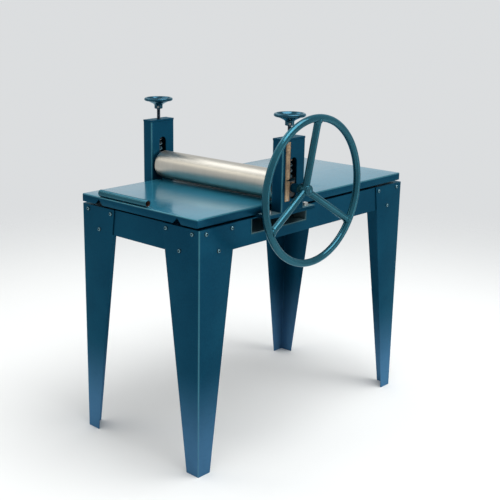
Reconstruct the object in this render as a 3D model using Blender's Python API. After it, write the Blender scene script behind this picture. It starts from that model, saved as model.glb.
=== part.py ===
"""Clay slab roller on four folded-steel legs.

A flat bed hangs on two angle-iron runners over four track wheels and passes under a steel
roller. The roller turns in two bearing blocks that pressure screws raise and lower inside
box-section posts, and a large three-spoke handwheel drives its shaft. A backing roller holds
the bed up under the nip.

Metres, +Z up. X is the way the bed runs and the handwheel is on the -Y side. All pieces hang
from one root empty, which puts the origin at the centre of the model's box, on the floor.
"""

import math

import bmesh
import bpy
from mathutils import Matrix, Vector

# Gaps and overruns
SEAT = 0.0003
OVERRUN = 0.010
SEAM_MERGE = 0.000001

# Stand: four folded rails and four bent legs
FRAME_LENGTH = 1.000
FRAME_WIDTH = 0.512
FRAME_TOP = 0.758
SHEET = 0.003
RAIL_DEPTH = 0.080
RAIL_FLANGE = 0.050
LEG_TOP_WIDTH = 0.150
LEG_FOOT_WIDTH = 0.050

# Bed tray, its runners and its grab tube
BED_LENGTH = 1.000
BED_WIDTH = 0.504
BED_SHIFT = 0.005
BED_SHEET = 0.003
SKIRT_CLEARANCE = 0.0022
SKIRT_BELOW_RUNNER = 0.0014
RUNNER_LEG = 0.025
RUNNER_SHEET = 0.003
RUNNER_INSET = 0.084
GRAB_RADIUS = 0.0105
GRAB_WALL = 0.002
GRAB_LENGTH = 0.215
GRAB_SIDESTEP = 0.067
GRAB_EDGE_GAP = 0.0005

# Plates that carry the posts
PLATE = 0.005
PLATE_LENGTH = 0.216
FOOT_SIDE_GAP = 0.0045
FOOT_LIP = 0.002

# Posts and caps
POST_SETBACK = 0.350
POST_SIDE_GAP = 0.0085
POST_WIDTH = 0.102
POST_DEPTH = 0.040
POST_WALL = 0.004
POST_HEIGHT = 0.2108
POST_CORNER = 0.002
CAP_THICKNESS = 0.006
SLOT_WIDTH = 0.030
SLOT_BELOW_AXIS = 0.0335
SLOT_TOP_LAND = 0.0517

# Roller, its shaft and its bearings
NIP = 0.0024
ROLLER_RADIUS = 0.045
ROLLER_WALL = 0.006
ROLLER_END_GAP = 0.0075
ROLLER_END_THICKNESS = 0.010
ROLLER_END_RECESS = 0.002
SHAFT_RADIUS = 0.0125
SHAFT_FAR_INSET = 0.0005
BLOCK_HEIGHT = 0.056
BUSH_WALL = 0.0032
COLLAR_WALL = 0.0012

# Pressure screws, their handwheels and springs
SCREW_RADIUS = 0.006
SCREW_SEAT_LAND = 0.004
SCREW_SHOWN = 0.034
KNOB_RADIUS = 0.0475
KNOB_RIM_RADIUS = 0.005
KNOB_HUB_RADIUS = 0.0137
KNOB_HUB_HEIGHT = 0.013
KNOB_DISH_RADIUS = 0.029
KNOB_DISH_RISE = 0.009
KNOB_RIM_RISE = 0.031
KNOB_WEB = 0.005
KNOB_CHAMFER = 0.0015
SPRING_RADIUS = 0.0105
SPRING_WIRE_RADIUS = 0.0017
SPRING_CURLS = 8
SPRING_CURL_POINTS = 9

# Height ruler and pointer
RULER_WIDTH = 0.020
RULER_LENGTH = 0.176
RULER_THICKNESS = 0.0008
RULER_SLOT_GAP = 0.0025
RULER_TOP_GAP = 0.004
POINTER_RISE = 0.025
POINTER_HEIGHT = 0.007
POINTER_STEM_WIDTH = 0.008
POINTER_THICKNESS = 0.0015
POINTER_TIP_LAP = 0.0015

# Drive handwheel
WHEEL_STANDOFF = 0.025
WHEEL_RADIUS = 0.213
WHEEL_TUBE_RADIUS = 0.011
WHEEL_HUB_RADIUS = 0.016
WHEEL_HUB_LENGTH = 0.034
WHEEL_DISH = 0.0175
WHEEL_SPOKE_COUNT = 3
WHEEL_SPOKE_TURN = 87.0
WHEEL_HUB_CHAMFER = 0.0015

# Track wheels under the runners
TRACK_SETBACK = 0.100
TRACK_RADIUS = 0.025
TRACK_HALF_WIDTH = 0.008
TRACK_PIN_RADIUS = 0.004
TRACK_EAR_GAP = 0.0006
TRACK_EAR_ABOVE = 0.002
TRACK_FLOOR_GAP = 0.002
STIRRUP_SHEET = 0.003
STIRRUP_LENGTH = 0.030
WHEEL_RAIL_WIDTH = 0.040
WHEEL_RAIL_DEPTH = 0.025

# Backing roller and the cross beam that carries it
BEAM_WIDTH = 0.258
BEAM_FLOOR_DROP = 0.049
BACKING_RADIUS = 0.030
BACKING_RUNNER_GAP = 0.032
BACKING_AXLE_RADIUS = 0.006
BACKING_BRACKET_WIDTH = 0.040
BACKING_BRACKET_SHEET = 0.005
BACKING_BRACKET_ABOVE = 0.008
BACKING_END_GAP = 0.0006
BACKING_AXLE_LIP = 0.0025
BRIDGE_SLOT_GAP = 0.004

# Foot bolts
BOLT_RADIUS = 0.005
BOLT_HEAD_RADIUS = 0.0095
BOLT_HEAD_HEIGHT = 0.0065
BOLT_WASHER_RADIUS = 0.011
BOLT_WASHER_HEIGHT = 0.0015
BOLT_LIP = 0.006
BOLT_PLACE_SHARE = 0.6

# Facets around a full turn
FINE_STEPS = 48
ROUND_STEPS = 24
SMALL_STEPS = 16
TUBE_STEPS = 12
SMOOTH_ANGLE = math.radians(40)

# Heights, from the floor up
BRIDGE_LOW = FRAME_TOP + SEAT
BRIDGE_HIGH = BRIDGE_LOW + PLATE
FOOT_LOW = BRIDGE_HIGH + SEAT
FOOT_HIGH = FOOT_LOW + PLATE
POST_LOW = FOOT_HIGH + SEAT
POST_HIGH = POST_LOW + POST_HEIGHT
CAP_LOW = POST_HIGH + SEAT
CAP_HIGH = CAP_LOW + CAP_THICKNESS
RUNNER_DROP = (RUNNER_LEG + RUNNER_SHEET) * math.cos(math.radians(45))
SKIRT_LOW = BRIDGE_HIGH + SKIRT_CLEARANCE
BED_UNDER = SKIRT_LOW + SKIRT_BELOW_RUNNER + RUNNER_DROP + SEAT
BED_TOP = BED_UNDER + BED_SHEET
RUNNER_APEX = BED_UNDER - SEAT
RUNNER_INNER_APEX = RUNNER_APEX - RUNNER_SHEET * math.sqrt(2)
AXIS_Z = BED_TOP + NIP + ROLLER_RADIUS
TRACK_Z = RUNNER_INNER_APEX - SEAT * math.sqrt(2) - TRACK_RADIUS
BACKING_Z = BED_UNDER - SEAT - BACKING_RADIUS
BEAM_LOW = FRAME_TOP - BEAM_FLOOR_DROP
BEAM_HIGH = FRAME_TOP - SHEET - SEAT

# Places along X, from the middle of the stand
AXIS_X = POST_SETBACK - FRAME_LENGTH / 2
BED_START = -BED_LENGTH / 2 - BED_SHIFT
BED_END = BED_LENGTH / 2 - BED_SHIFT
END_WEB = FRAME_LENGTH / 2 - SHEET - SEAT
TRACK_X = FRAME_LENGTH / 2 - TRACK_SETBACK

# Distances from the middle plane Y = 0
SIDE_WEB = FRAME_WIDTH / 2 - SHEET - SEAT
RUNNER_Y = FRAME_WIDTH / 2 - RUNNER_INSET
POST_INNER = BED_WIDTH / 2 + POST_SIDE_GAP
POST_Y = POST_INNER + POST_DEPTH / 2
POST_OUTER = POST_INNER + POST_DEPTH
PLATE_OUTER = POST_OUTER + FOOT_LIP
ROLLER_HALF = POST_INNER - ROLLER_END_GAP
HUB_INNER = POST_OUTER + WHEEL_STANDOFF
HUB_OUTER = HUB_INNER + WHEEL_HUB_LENGTH
RIM_Y = HUB_OUTER + WHEEL_DISH
BORE_RADIUS = SHAFT_RADIUS + SEAT
BUSH_RADIUS = BORE_RADIUS + BUSH_WALL
BLOCK_HALF_DEPTH = POST_DEPTH / 2 - POST_WALL - SEAT
BACKING_HALF = RUNNER_Y - BACKING_RUNNER_GAP
BACKING_EAR = BACKING_HALF + BACKING_END_GAP
BACKING_AXLE_HALF = BACKING_EAR + BACKING_BRACKET_SHEET + BACKING_AXLE_LIP

# Screw and handwheel heights
SCREW_SEAT_LOW = AXIS_Z + BUSH_RADIUS + SEAT + SCREW_SEAT_LAND
SCREW_LOW = SCREW_SEAT_LOW + SEAT
KNOB_LOW = CAP_HIGH + SCREW_SHOWN
KNOB_RIM_Z = KNOB_LOW + KNOB_RIM_RISE
KNOB_WEB_TOP = KNOB_LOW + KNOB_HUB_HEIGHT + KNOB_WEB + KNOB_CHAMFER
SCREW_HIGH = KNOB_WEB_TOP - KNOB_CHAMFER

# The model's box, which sets the origin
BOX_X = (min(BED_START, -FRAME_LENGTH / 2), max(BED_END, FRAME_LENGTH / 2))
BOX_Y = (-RIM_Y - WHEEL_TUBE_RADIUS, max(PLATE_OUTER, POST_Y + KNOB_RADIUS))
ORIGIN_SHIFT = Vector((-sum(BOX_X) / 2, -sum(BOX_Y) / 2, 0))

SIDES = {"near": -1, "far": 1}
ENDS = {"infeed": -1, "outfeed": 1}
PAINT = ("blue_paint", (0.018, 0.095, 0.150), 0.35, 0.4)
SATIN_STEEL = ("satin_steel", (0.56, 0.55, 0.53), 0.28, 1.0)
PLAIN_STEEL = ("plain_steel", (0.36, 0.36, 0.37), 0.42, 1.0)
ZINC = ("zinc_plate", (0.70, 0.71, 0.68), 0.33, 1.0)
BRONZE = ("bearing_bronze", (0.52, 0.33, 0.14), 0.4, 1.0)
RULER_TAN = ("ruler_tan", (0.50, 0.33, 0.19), 0.5, 0.0)
SPRING_BLUE = ("spring_blue", (0.05, 0.16, 0.22), 0.4, 0.6)


def clear_scene():
    """Remove every object, so the model stands alone."""
    for old in list(bpy.data.objects):
        bpy.data.objects.remove(old, do_unlink=True)


def material(spec):
    """A Principled material of one colour, roughness and metallic value."""
    name, colour, roughness, metallic = spec
    found = bpy.data.materials.get(name)
    if found:
        return found
    made = bpy.data.materials.new(name)
    made.use_nodes = True
    shader = made.node_tree.nodes["Principled BSDF"]
    shader.inputs["Base Color"].default_value = (*colour, 1)
    shader.inputs["Roughness"].default_value = roughness
    shader.inputs["Metallic"].default_value = metallic
    return made


def add(name, shape, finish, place=(0, 0, 0)):
    """Turn a bmesh into a named object under the root, its origin at the given place."""
    bmesh.ops.recalc_face_normals(shape, faces=shape.faces)
    mesh = bpy.data.meshes.new(name)
    shape.to_mesh(mesh)
    shape.free()
    mesh.shade_smooth()
    mesh.set_sharp_from_angle(angle=SMOOTH_ANGLE)
    made = bpy.data.objects.new(name, mesh)
    bpy.context.collection.objects.link(made)
    made.parent = ROOT
    made.location = place
    if finish:
        mesh.materials.append(material(finish))
    return made


def copy_of(original, name, place):
    """A second object on the same mesh."""
    made = bpy.data.objects.new(name, original.data)
    bpy.context.collection.objects.link(made)
    made.parent = ROOT
    made.location = place
    return made


def box_shape(x, y, z):
    """A box from three (low, high) pairs."""
    shape = bmesh.new()
    bmesh.ops.create_cube(shape, size=1.0)
    size = Vector((x[1] - x[0], y[1] - y[0], z[1] - z[0]))
    centre = Vector((x[0] + x[1], y[0] + y[1], z[0] + z[1])) / 2
    bmesh.ops.scale(shape, vec=size, verts=shape.verts)
    bmesh.ops.translate(shape, vec=centre, verts=shape.verts)
    return shape


def prism_shape(outline, axis, low, high):
    """Extrude a closed outline along an axis.

    The outline's pairs are (y, z) along X, (x, z) along Y and (x, y) along Z.
    """
    place = {
        "X": lambda a, b: (low, a, b),
        "Y": lambda a, b: (a, low, b),
        "Z": lambda a, b: (a, b, low),
    }[axis]
    run = {"X": (1, 0, 0), "Y": (0, 1, 0), "Z": (0, 0, 1)}[axis]
    shape = bmesh.new()
    face = shape.faces.new([shape.verts.new(place(a, b)) for a, b in outline])
    pushed = bmesh.ops.extrude_face_region(shape, geom=[face])
    moved = [item for item in pushed["geom"] if isinstance(item, bmesh.types.BMVert)]
    bmesh.ops.translate(shape, vec=Vector(run) * (high - low), verts=moved)
    return shape


def turned_shape(profile, axis, steps=ROUND_STEPS):
    """Turn a closed profile of (radius, height) points about an axis through the origin."""
    frame = {
        "Y": (Vector((1, 0, 0)), Vector((0, 1, 0))),
        "Z": (Vector((1, 0, 0)), Vector((0, 0, 1))),
    }[axis]
    shape = bmesh.new()
    points = [shape.verts.new(frame[0] * radius + frame[1] * height) for radius, height in profile]
    edges = [shape.edges.new((a, b)) for a, b in zip(points, points[1:] + points[:1])]
    on_axis = [edge for edge in edges if all(abs(v.co.x) < SEAM_MERGE for v in edge.verts)]
    for edge in on_axis:
        edges.remove(edge)
        shape.edges.remove(edge)
    bmesh.ops.spin(
        shape, geom=points + edges, cent=(0, 0, 0), axis=frame[1],
        angle=math.tau, steps=steps, use_merge=True,
    )
    bmesh.ops.remove_doubles(shape, verts=shape.verts, dist=SEAM_MERGE)
    return shape


def ring_profile(inner, outer, low, high):
    """A plain tube's section."""
    return [(outer, low), (outer, high), (inner, high), (inner, low)]


def rod_profile(radius, low, high):
    """A plain bar's section, down to its axis."""
    return [(0, low), (radius, low), (radius, high), (0, high)]


def arc(centre, radius, start, end, count):
    """Points of an arc in the profile plane, by angle in degrees."""
    turns = [math.radians(start + (end - start) * i / count) for i in range(count + 1)]
    return [(centre[0] + radius * math.cos(t), centre[1] + radius * math.sin(t)) for t in turns]


def slot_outline(centre, half_width, low, high, count=8):
    """An upright slot with round ends, as (x, z) points."""
    top = arc((centre, high - half_width), half_width, 0, 180, count)
    bottom = arc((centre, low + half_width), half_width, 180, 360, count)
    return top + bottom


def cut(target, shape, name):
    """Cut a shape out of an object, leaving the cutter as a hidden wire guide."""
    cutter = add(name, shape, None)
    cutter.hide_render = True
    cutter.display_type = "WIRE"
    step = target.modifiers.new(name, "BOOLEAN")
    step.operation = "DIFFERENCE"
    step.solver = "EXACT"
    step.object = cutter


def join(target, shape, name):
    """Union a shape into an object, leaving the added shape as a hidden wire guide."""
    extra = add(name, shape, None, target.location)
    extra.hide_render = True
    extra.display_type = "WIRE"
    step = target.modifiers.new(name, "BOOLEAN")
    step.operation = "UNION"
    step.solver = "EXACT"
    step.object = extra


def reshape(target, shape, operation):
    """Union or cut a shape into an object's own mesh, for a mesh that several objects share."""
    tool = add("tool_shape", shape, None, target.location)
    step = target.modifiers.new("tool", "BOOLEAN")
    step.operation = operation
    step.solver = "EXACT"
    step.object = tool
    bpy.context.view_layer.update()
    seen = target.evaluated_get(bpy.context.evaluated_depsgraph_get())
    merged = bpy.data.meshes.new_from_object(seen)
    target.modifiers.clear()
    target.data = merged
    bpy.data.objects.remove(tool, do_unlink=True)


def moved(shape, place):
    """A shape moved to a place."""
    bmesh.ops.translate(shape, vec=place, verts=shape.verts)
    return shape


def channel_outline(low, high, web, flange, sheet, side):
    """A C section as (distance, height) points, its web's outer face at the given distance."""
    inner = web - sheet * side
    tip = web - flange * side
    return [
        (web, low), (web, high), (tip, high), (tip, high - sheet),
        (inner, high - sheet), (inner, low + sheet), (tip, low + sheet), (tip, low),
    ]


def coped(rail, name, flange_limit, web_inner, run):
    """Trim a rail's flanges at both ends, so only its web runs on to the corner."""
    for end, sign in ENDS.items():
        along = sorted((sign * flange_limit, sign * (FRAME_LENGTH + OVERRUN)))
        across = sorted((web_inner, web_inner - math.copysign(RAIL_FLANGE + OVERRUN, web_inner)))
        heights = (FRAME_TOP - RAIL_DEPTH - OVERRUN, FRAME_TOP + OVERRUN)
        spans = (along, across, heights) if run == "X" else (across, along, heights)
        cut(rail, box_shape(*spans), f"{name}_cope_{end}")


def side_rails():
    """Long rails: C sections with coped flanges and a window for the cross beam.

    The foot bolts pass outside them, and on a narrower bed through holes in their flanges.
    """
    low = FRAME_TOP - RAIL_DEPTH
    for side, sign in SIDES.items():
        outline = channel_outline(low, FRAME_TOP, sign * SIDE_WEB, RAIL_FLANGE, SHEET, sign)
        name = f"side_rail_{side}"
        rail = add(name, prism_shape(outline, "X", -END_WEB, END_WEB), PAINT)
        coped(rail, name, END_WEB - SHEET - SEAT, sign * (SIDE_WEB - SHEET), "X")
        half = BEAM_WIDTH / 2 + SEAT
        across = sorted((sign * (SIDE_WEB - SHEET - SEAT), sign * (SIDE_WEB + OVERRUN)))
        window = box_shape((AXIS_X - half, AXIS_X + half), across, (BEAM_LOW - SEAT, BEAM_HIGH + SEAT))
        cut(rail, window, f"{name}_window")
        for bolt, (x, y) in bolt_places().items():
            if y * sign > 0:
                cut(rail, bolt_hole(x, y), f"rail_hole_{bolt}")


def end_rails():
    """Short rails, their webs between the side rails' webs."""
    low = FRAME_TOP - RAIL_DEPTH
    half = SIDE_WEB - SHEET - SEAT
    for end, sign in ENDS.items():
        outline = channel_outline(low, FRAME_TOP, sign * END_WEB, RAIL_FLANGE, SHEET, sign)
        name = f"end_rail_{end}"
        rail = add(name, prism_shape(outline, "Y", -half, half), PAINT)
        coped(rail, name, SIDE_WEB - RAIL_FLANGE - SEAT, sign * (END_WEB - SHEET), "Y")


def leg_outline(width, x_sign, y_sign):
    """An L section with its outer corner at a corner of the stand."""
    x, y = x_sign * FRAME_LENGTH / 2, y_sign * FRAME_WIDTH / 2
    steps = [(0, 0), (width, 0), (width, SHEET), (SHEET, SHEET), (SHEET, width), (0, width)]
    return [(x - x_sign * a, y - y_sign * b) for a, b in steps]


def legs():
    """Bent-sheet legs that taper straight from the top to the foot."""
    for end, x_sign in ENDS.items():
        for side, y_sign in SIDES.items():
            shape = bmesh.new()
            foot = [shape.verts.new((a, b, 0)) for a, b in leg_outline(LEG_FOOT_WIDTH, x_sign, y_sign)]
            top = [
                shape.verts.new((a, b, FRAME_TOP))
                for a, b in leg_outline(LEG_TOP_WIDTH, x_sign, y_sign)
            ]
            shape.faces.new(foot)
            shape.faces.new(top)
            for i in range(len(foot)):
                shape.faces.new((foot[i - 1], foot[i], top[i], top[i - 1]))
            add(f"leg_{end}_{side}", shape, PAINT)


def cross_beam():
    """Open-topped folded channel under the nip, its ends in the side rails' windows."""
    half = BEAM_WIDTH / 2
    outline = [
        (AXIS_X - half, BEAM_HIGH), (AXIS_X - half, BEAM_LOW),
        (AXIS_X + half, BEAM_LOW), (AXIS_X + half, BEAM_HIGH),
        (AXIS_X + half - SHEET, BEAM_HIGH), (AXIS_X + half - SHEET, BEAM_LOW + SHEET),
        (AXIS_X - half + SHEET, BEAM_LOW + SHEET), (AXIS_X - half + SHEET, BEAM_HIGH),
    ]
    add("cross_beam", prism_shape(outline, "Y", -SIDE_WEB, SIDE_WEB), PAINT)


def bolt_places():
    """The four foot bolts' centres by name."""
    free = PLATE_LENGTH / 2 - POST_WIDTH / 2
    reach = POST_WIDTH / 2 + free * BOLT_PLACE_SHARE
    return {
        f"{end}_{side}": (AXIS_X + x_sign * reach, y_sign * POST_Y)
        for end, x_sign in ENDS.items()
        for side, y_sign in SIDES.items()
    }


def bolt_hole(x, y):
    """A clearance hole through the plates."""
    hole = turned_shape(
        rod_profile(BOLT_RADIUS + SEAT, BRIDGE_LOW - OVERRUN, FOOT_HIGH + OVERRUN), "Z", SMALL_STEPS
    )
    return moved(hole, (x, y, 0))


def plates():
    """The bridge plate across the stand and a foot plate under each post."""
    along = (AXIS_X - PLATE_LENGTH / 2, AXIS_X + PLATE_LENGTH / 2)
    bridge = add(
        "bridge_plate",
        box_shape(along, (-PLATE_OUTER, PLATE_OUTER), (BRIDGE_LOW, BRIDGE_HIGH)),
        PAINT,
    )
    half_x = BACKING_RADIUS + BRIDGE_SLOT_GAP
    half_y = BACKING_AXLE_HALF + BRIDGE_SLOT_GAP
    slot = box_shape(
        (AXIS_X - half_x, AXIS_X + half_x), (-half_y, half_y),
        (BRIDGE_LOW - OVERRUN, BRIDGE_HIGH + OVERRUN),
    )
    cut(bridge, slot, "bridge_slot")
    inner = BED_WIDTH / 2 + FOOT_SIDE_GAP
    for side, sign in SIDES.items():
        across = sorted((sign * inner, sign * PLATE_OUTER))
        foot = add(f"foot_plate_{side}", box_shape(along, across, (FOOT_LOW, FOOT_HIGH)), PAINT)
        for name, (x, y) in bolt_places().items():
            if y * sign > 0:
                cut(foot, bolt_hole(x, y), f"foot_hole_{name}")
    for name, (x, y) in bolt_places().items():
        cut(bridge, bolt_hole(x, y), f"bridge_hole_{name}")


def foot_bolts():
    """Hex bolts with their washers, down through both plates."""
    low = FOOT_HIGH + SEAT
    first = None
    for name, (x, y) in bolt_places().items():
        if first:
            copy_of(first, f"foot_bolt_{name}", (x, y, low))
            continue
        shank_low = BRIDGE_LOW - BOLT_LIP - low
        profile = [
            (0, shank_low), (BOLT_RADIUS, shank_low), (BOLT_RADIUS, 0), (BOLT_WASHER_RADIUS, 0),
            (BOLT_WASHER_RADIUS, BOLT_WASHER_HEIGHT), (0, BOLT_WASHER_HEIGHT),
        ]
        first = add(f"foot_bolt_{name}", turned_shape(profile, "Z", SMALL_STEPS), ZINC, (x, y, low))
        corners = [math.radians(60 * i) for i in range(6)]
        hexagon = [(BOLT_HEAD_RADIUS * math.cos(t), BOLT_HEAD_RADIUS * math.sin(t)) for t in corners]
        head = prism_shape(hexagon, "Z", BOLT_WASHER_HEIGHT / 2, BOLT_WASHER_HEIGHT + BOLT_HEAD_HEIGHT)
        reshape(first, head, "UNION")


def posts():
    """Box-section posts with a round-ended slot through both broad walls, and their caps."""
    half_x, half_y = POST_WIDTH / 2, POST_DEPTH / 2
    slot_high = POST_HIGH - SLOT_TOP_LAND
    slot_low = AXIS_Z - SLOT_BELOW_AXIS
    slot = slot_outline(AXIS_X, SLOT_WIDTH / 2, slot_low, slot_high)
    for side, sign in SIDES.items():
        y = sign * POST_Y
        post = add(
            f"post_{side}",
            box_shape((AXIS_X - half_x, AXIS_X + half_x), (y - half_y, y + half_y), (POST_LOW, POST_HIGH)),
            PAINT,
        )
        edge = post.modifiers.new("corners", "BEVEL")
        edge.width = POST_CORNER
        edge.segments = 2
        edge.limit_method = "WEIGHT"
        weights = post.data.attributes.new("bevel_weight_edge", "FLOAT", "EDGE")
        for line in post.data.edges:
            ends = [post.data.vertices[i].co for i in line.vertices]
            weights.data[line.index].value = 1.0 if abs(ends[0].z - ends[1].z) > POST_WALL else 0.0
        bore = box_shape(
            (AXIS_X - half_x + POST_WALL, AXIS_X + half_x - POST_WALL),
            (y - half_y + POST_WALL, y + half_y - POST_WALL),
            (POST_LOW - OVERRUN, POST_HIGH + OVERRUN),
        )
        cut(post, bore, f"post_{side}_bore")
        across = (y - half_y - OVERRUN, y + half_y + OVERRUN)
        cut(post, prism_shape(slot, "Y", *across), f"post_{side}_slot")
        cap = add(
            f"post_cap_{side}",
            box_shape((AXIS_X - half_x, AXIS_X + half_x), (y - half_y, y + half_y), (CAP_LOW, CAP_HIGH)),
            PAINT,
        )
        hole = turned_shape(
            rod_profile(SCREW_RADIUS + SEAT, CAP_LOW - OVERRUN, CAP_HIGH + OVERRUN), "Z", ROUND_STEPS
        )
        cut(cap, moved(hole, (AXIS_X, y, 0)), f"post_cap_{side}_hole")


def height_ruler():
    """The thickness ruler beside the near post's slot."""
    right = AXIS_X - SLOT_WIDTH / 2 - RULER_SLOT_GAP
    high = POST_HIGH - RULER_TOP_GAP
    face = -POST_OUTER - SEAT
    shape = box_shape(
        (right - RULER_WIDTH, right), (face - RULER_THICKNESS, face), (high - RULER_LENGTH, high)
    )
    add("height_ruler", shape, RULER_TAN)


def height_pointer():
    """A bent finger on the near block that reads the ruler."""
    centre = AXIS_Z + POINTER_RISE
    low, high = centre - POINTER_HEIGHT / 2, centre + POINTER_HEIGHT / 2
    block_face = -POST_Y - BLOCK_HALF_DEPTH - SEAT
    arm_inner = -POST_OUTER - SEAT - RULER_THICKNESS - SEAT
    arm_outer = arm_inner - POINTER_THICKNESS
    right = AXIS_X + POINTER_STEM_WIDTH / 2
    tip = AXIS_X - SLOT_WIDTH / 2 - RULER_SLOT_GAP - RULER_WIDTH - POINTER_TIP_LAP
    arm = [
        (right, low), (right, high), (AXIS_X - SLOT_WIDTH / 2, high),
        (tip, centre), (AXIS_X - SLOT_WIDTH / 2, low),
    ]
    made = add("height_pointer", prism_shape(arm, "Y", arm_outer, arm_inner), PAINT)
    stem = box_shape(
        (right - POINTER_STEM_WIDTH, right),
        (arm_outer + POINTER_THICKNESS / 2, block_face),
        (low, high),
    )
    reshape(made, stem, "UNION")


def bearing_blocks():
    """Blocks that slide inside the posts, each with a bush for the shaft."""
    half_x = POST_WIDTH / 2 - POST_WALL - SEAT
    half_y = BLOCK_HALF_DEPTH
    for side, sign in SIDES.items():
        y = sign * POST_Y
        high = AXIS_Z + BLOCK_HEIGHT / 2
        block = add(
            f"bearing_block_{side}",
            box_shape(
                (AXIS_X - half_x, AXIS_X + half_x), (y - half_y, y + half_y),
                (AXIS_Z - BLOCK_HEIGHT / 2, high),
            ),
            PLAIN_STEEL,
        )
        bore = turned_shape(
            rod_profile(BUSH_RADIUS + SEAT, y - half_y - OVERRUN, y + half_y + OVERRUN), "Y", ROUND_STEPS
        )
        cut(block, moved(bore, (AXIS_X, 0, AXIS_Z)), f"bearing_block_{side}_bore")
        seat = turned_shape(
            rod_profile(SCREW_RADIUS + SEAT, SCREW_SEAT_LOW, high + OVERRUN), "Z", ROUND_STEPS
        )
        cut(block, moved(seat, (AXIS_X, y, 0)), f"bearing_block_{side}_seat")
        bush = ring_profile(BORE_RADIUS, BUSH_RADIUS, y - half_y, y + half_y)
        add(f"bush_{side}", turned_shape(bush, "Y"), BRONZE, (AXIS_X, 0, AXIS_Z))


def roller():
    """The roller: a tube with a disc in each end, on one through shaft."""
    centre = (AXIS_X, 0, AXIS_Z)
    bore = ROLLER_RADIUS - ROLLER_WALL
    tube = ring_profile(bore, ROLLER_RADIUS, -ROLLER_HALF, ROLLER_HALF)
    add("roller_tube", turned_shape(tube, "Y", FINE_STEPS), SATIN_STEEL, centre)
    for side, sign in SIDES.items():
        outer = ROLLER_HALF - ROLLER_END_RECESS
        low, high = sorted((sign * outer, sign * (outer - ROLLER_END_THICKNESS)))
        disc = ring_profile(BORE_RADIUS, bore - SEAT, low, high)
        add(f"roller_end_{side}", turned_shape(disc, "Y", FINE_STEPS), SATIN_STEEL, centre)
    shaft = rod_profile(SHAFT_RADIUS, -HUB_OUTER + WHEEL_HUB_CHAMFER, POST_OUTER - SHAFT_FAR_INSET)
    add("roller_shaft", turned_shape(shaft, "Y"), PLAIN_STEEL, centre)
    collar = ring_profile(
        BORE_RADIUS, BORE_RADIUS + COLLAR_WALL, -HUB_INNER + SEAT, -POST_OUTER - SEAT
    )
    add("spacer_collar", turned_shape(collar, "Y"), PAINT, centre)


def drive_handwheel():
    """The big handwheel: a rim and three spokes of one tube, dished out from its hub."""
    centre = Vector((AXIS_X, 0, AXIS_Z))
    rim = turned_shape(
        arc((WHEEL_RADIUS, -RIM_Y), WHEEL_TUBE_RADIUS, 0, 360, TUBE_STEPS)[:-1], "Y", FINE_STEPS
    )
    wheel = add("drive_handwheel", rim, PAINT, centre)
    chamfer = WHEEL_HUB_CHAMFER
    hub = turned_shape(
        [
            (BORE_RADIUS, -HUB_INNER), (BORE_RADIUS, -HUB_OUTER),
            (WHEEL_HUB_RADIUS - chamfer, -HUB_OUTER), (WHEEL_HUB_RADIUS, -HUB_OUTER + chamfer),
            (WHEEL_HUB_RADIUS, -HUB_INNER - chamfer), (WHEEL_HUB_RADIUS - chamfer, -HUB_INNER),
        ],
        "Y", ROUND_STEPS,
    )
    foot_y = -HUB_OUTER + WHEEL_TUBE_RADIUS + chamfer
    for i in range(WHEEL_SPOKE_COUNT):
        turn = math.radians(WHEEL_SPOKE_TURN + 360 * i / WHEEL_SPOKE_COUNT)
        out = Vector((math.cos(turn), 0, math.sin(turn)))
        start = Vector((0, foot_y, 0))
        end = out * WHEEL_RADIUS + Vector((0, -RIM_Y, 0))
        spoke = turned_shape(
            rod_profile(WHEEL_TUBE_RADIUS, 0, (end - start).length), "Z", SMALL_STEPS
        )
        aim = (end - start).to_track_quat("Z", "X").to_matrix().to_4x4()
        bmesh.ops.transform(spoke, matrix=Matrix.Translation(start) @ aim, verts=spoke.verts)
        join(wheel, spoke, f"handwheel_spoke_{i + 1}")
    join(wheel, hub, "handwheel_hub")
    bore = rod_profile(BORE_RADIUS, -HUB_OUTER - OVERRUN, -HUB_INNER + OVERRUN)
    cut(wheel, moved(turned_shape(bore, "Y"), centre), "handwheel_bore")


def pressure_screws():
    """Each post's pressure screw with its dished handwheel and the spring around the screw."""
    screw_profile = rod_profile(SCREW_RADIUS, SCREW_LOW, SCREW_HIGH)
    hub, chamfer = KNOB_HUB_RADIUS, KNOB_CHAMFER
    bore = SCREW_RADIUS + SEAT
    hub_high = KNOB_LOW + KNOB_HUB_HEIGHT
    rim_centre = (KNOB_RADIUS - KNOB_RIM_RADIUS, KNOB_RIM_Z)
    knob_profile = (
        [
            (bore, KNOB_LOW), (hub - chamfer, KNOB_LOW), (hub, KNOB_LOW + chamfer), (hub, hub_high),
            (KNOB_DISH_RADIUS, hub_high + KNOB_DISH_RISE),
        ]
        + arc(rim_centre, KNOB_RIM_RADIUS, -110, 160, 7)
        + [
            (KNOB_DISH_RADIUS, hub_high + KNOB_DISH_RISE + KNOB_WEB),
            (hub, KNOB_WEB_TOP), (bore, KNOB_WEB_TOP),
        ]
    )
    screw = knob = coil = None
    for side, sign in SIDES.items():
        place = (AXIS_X, sign * POST_Y, 0)
        if screw:
            copy_of(screw, f"pressure_screw_{side}", place)
            copy_of(knob, f"screw_handwheel_{side}", place)
            copy_of(coil, f"spring_{side}", place)
            continue
        screw = add(f"pressure_screw_{side}", turned_shape(screw_profile, "Z"), PLAIN_STEEL, place)
        knob = add(f"screw_handwheel_{side}", turned_shape(knob_profile, "Z"), PAINT, place)
        coil = spring(f"spring_{side}", place)


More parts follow.
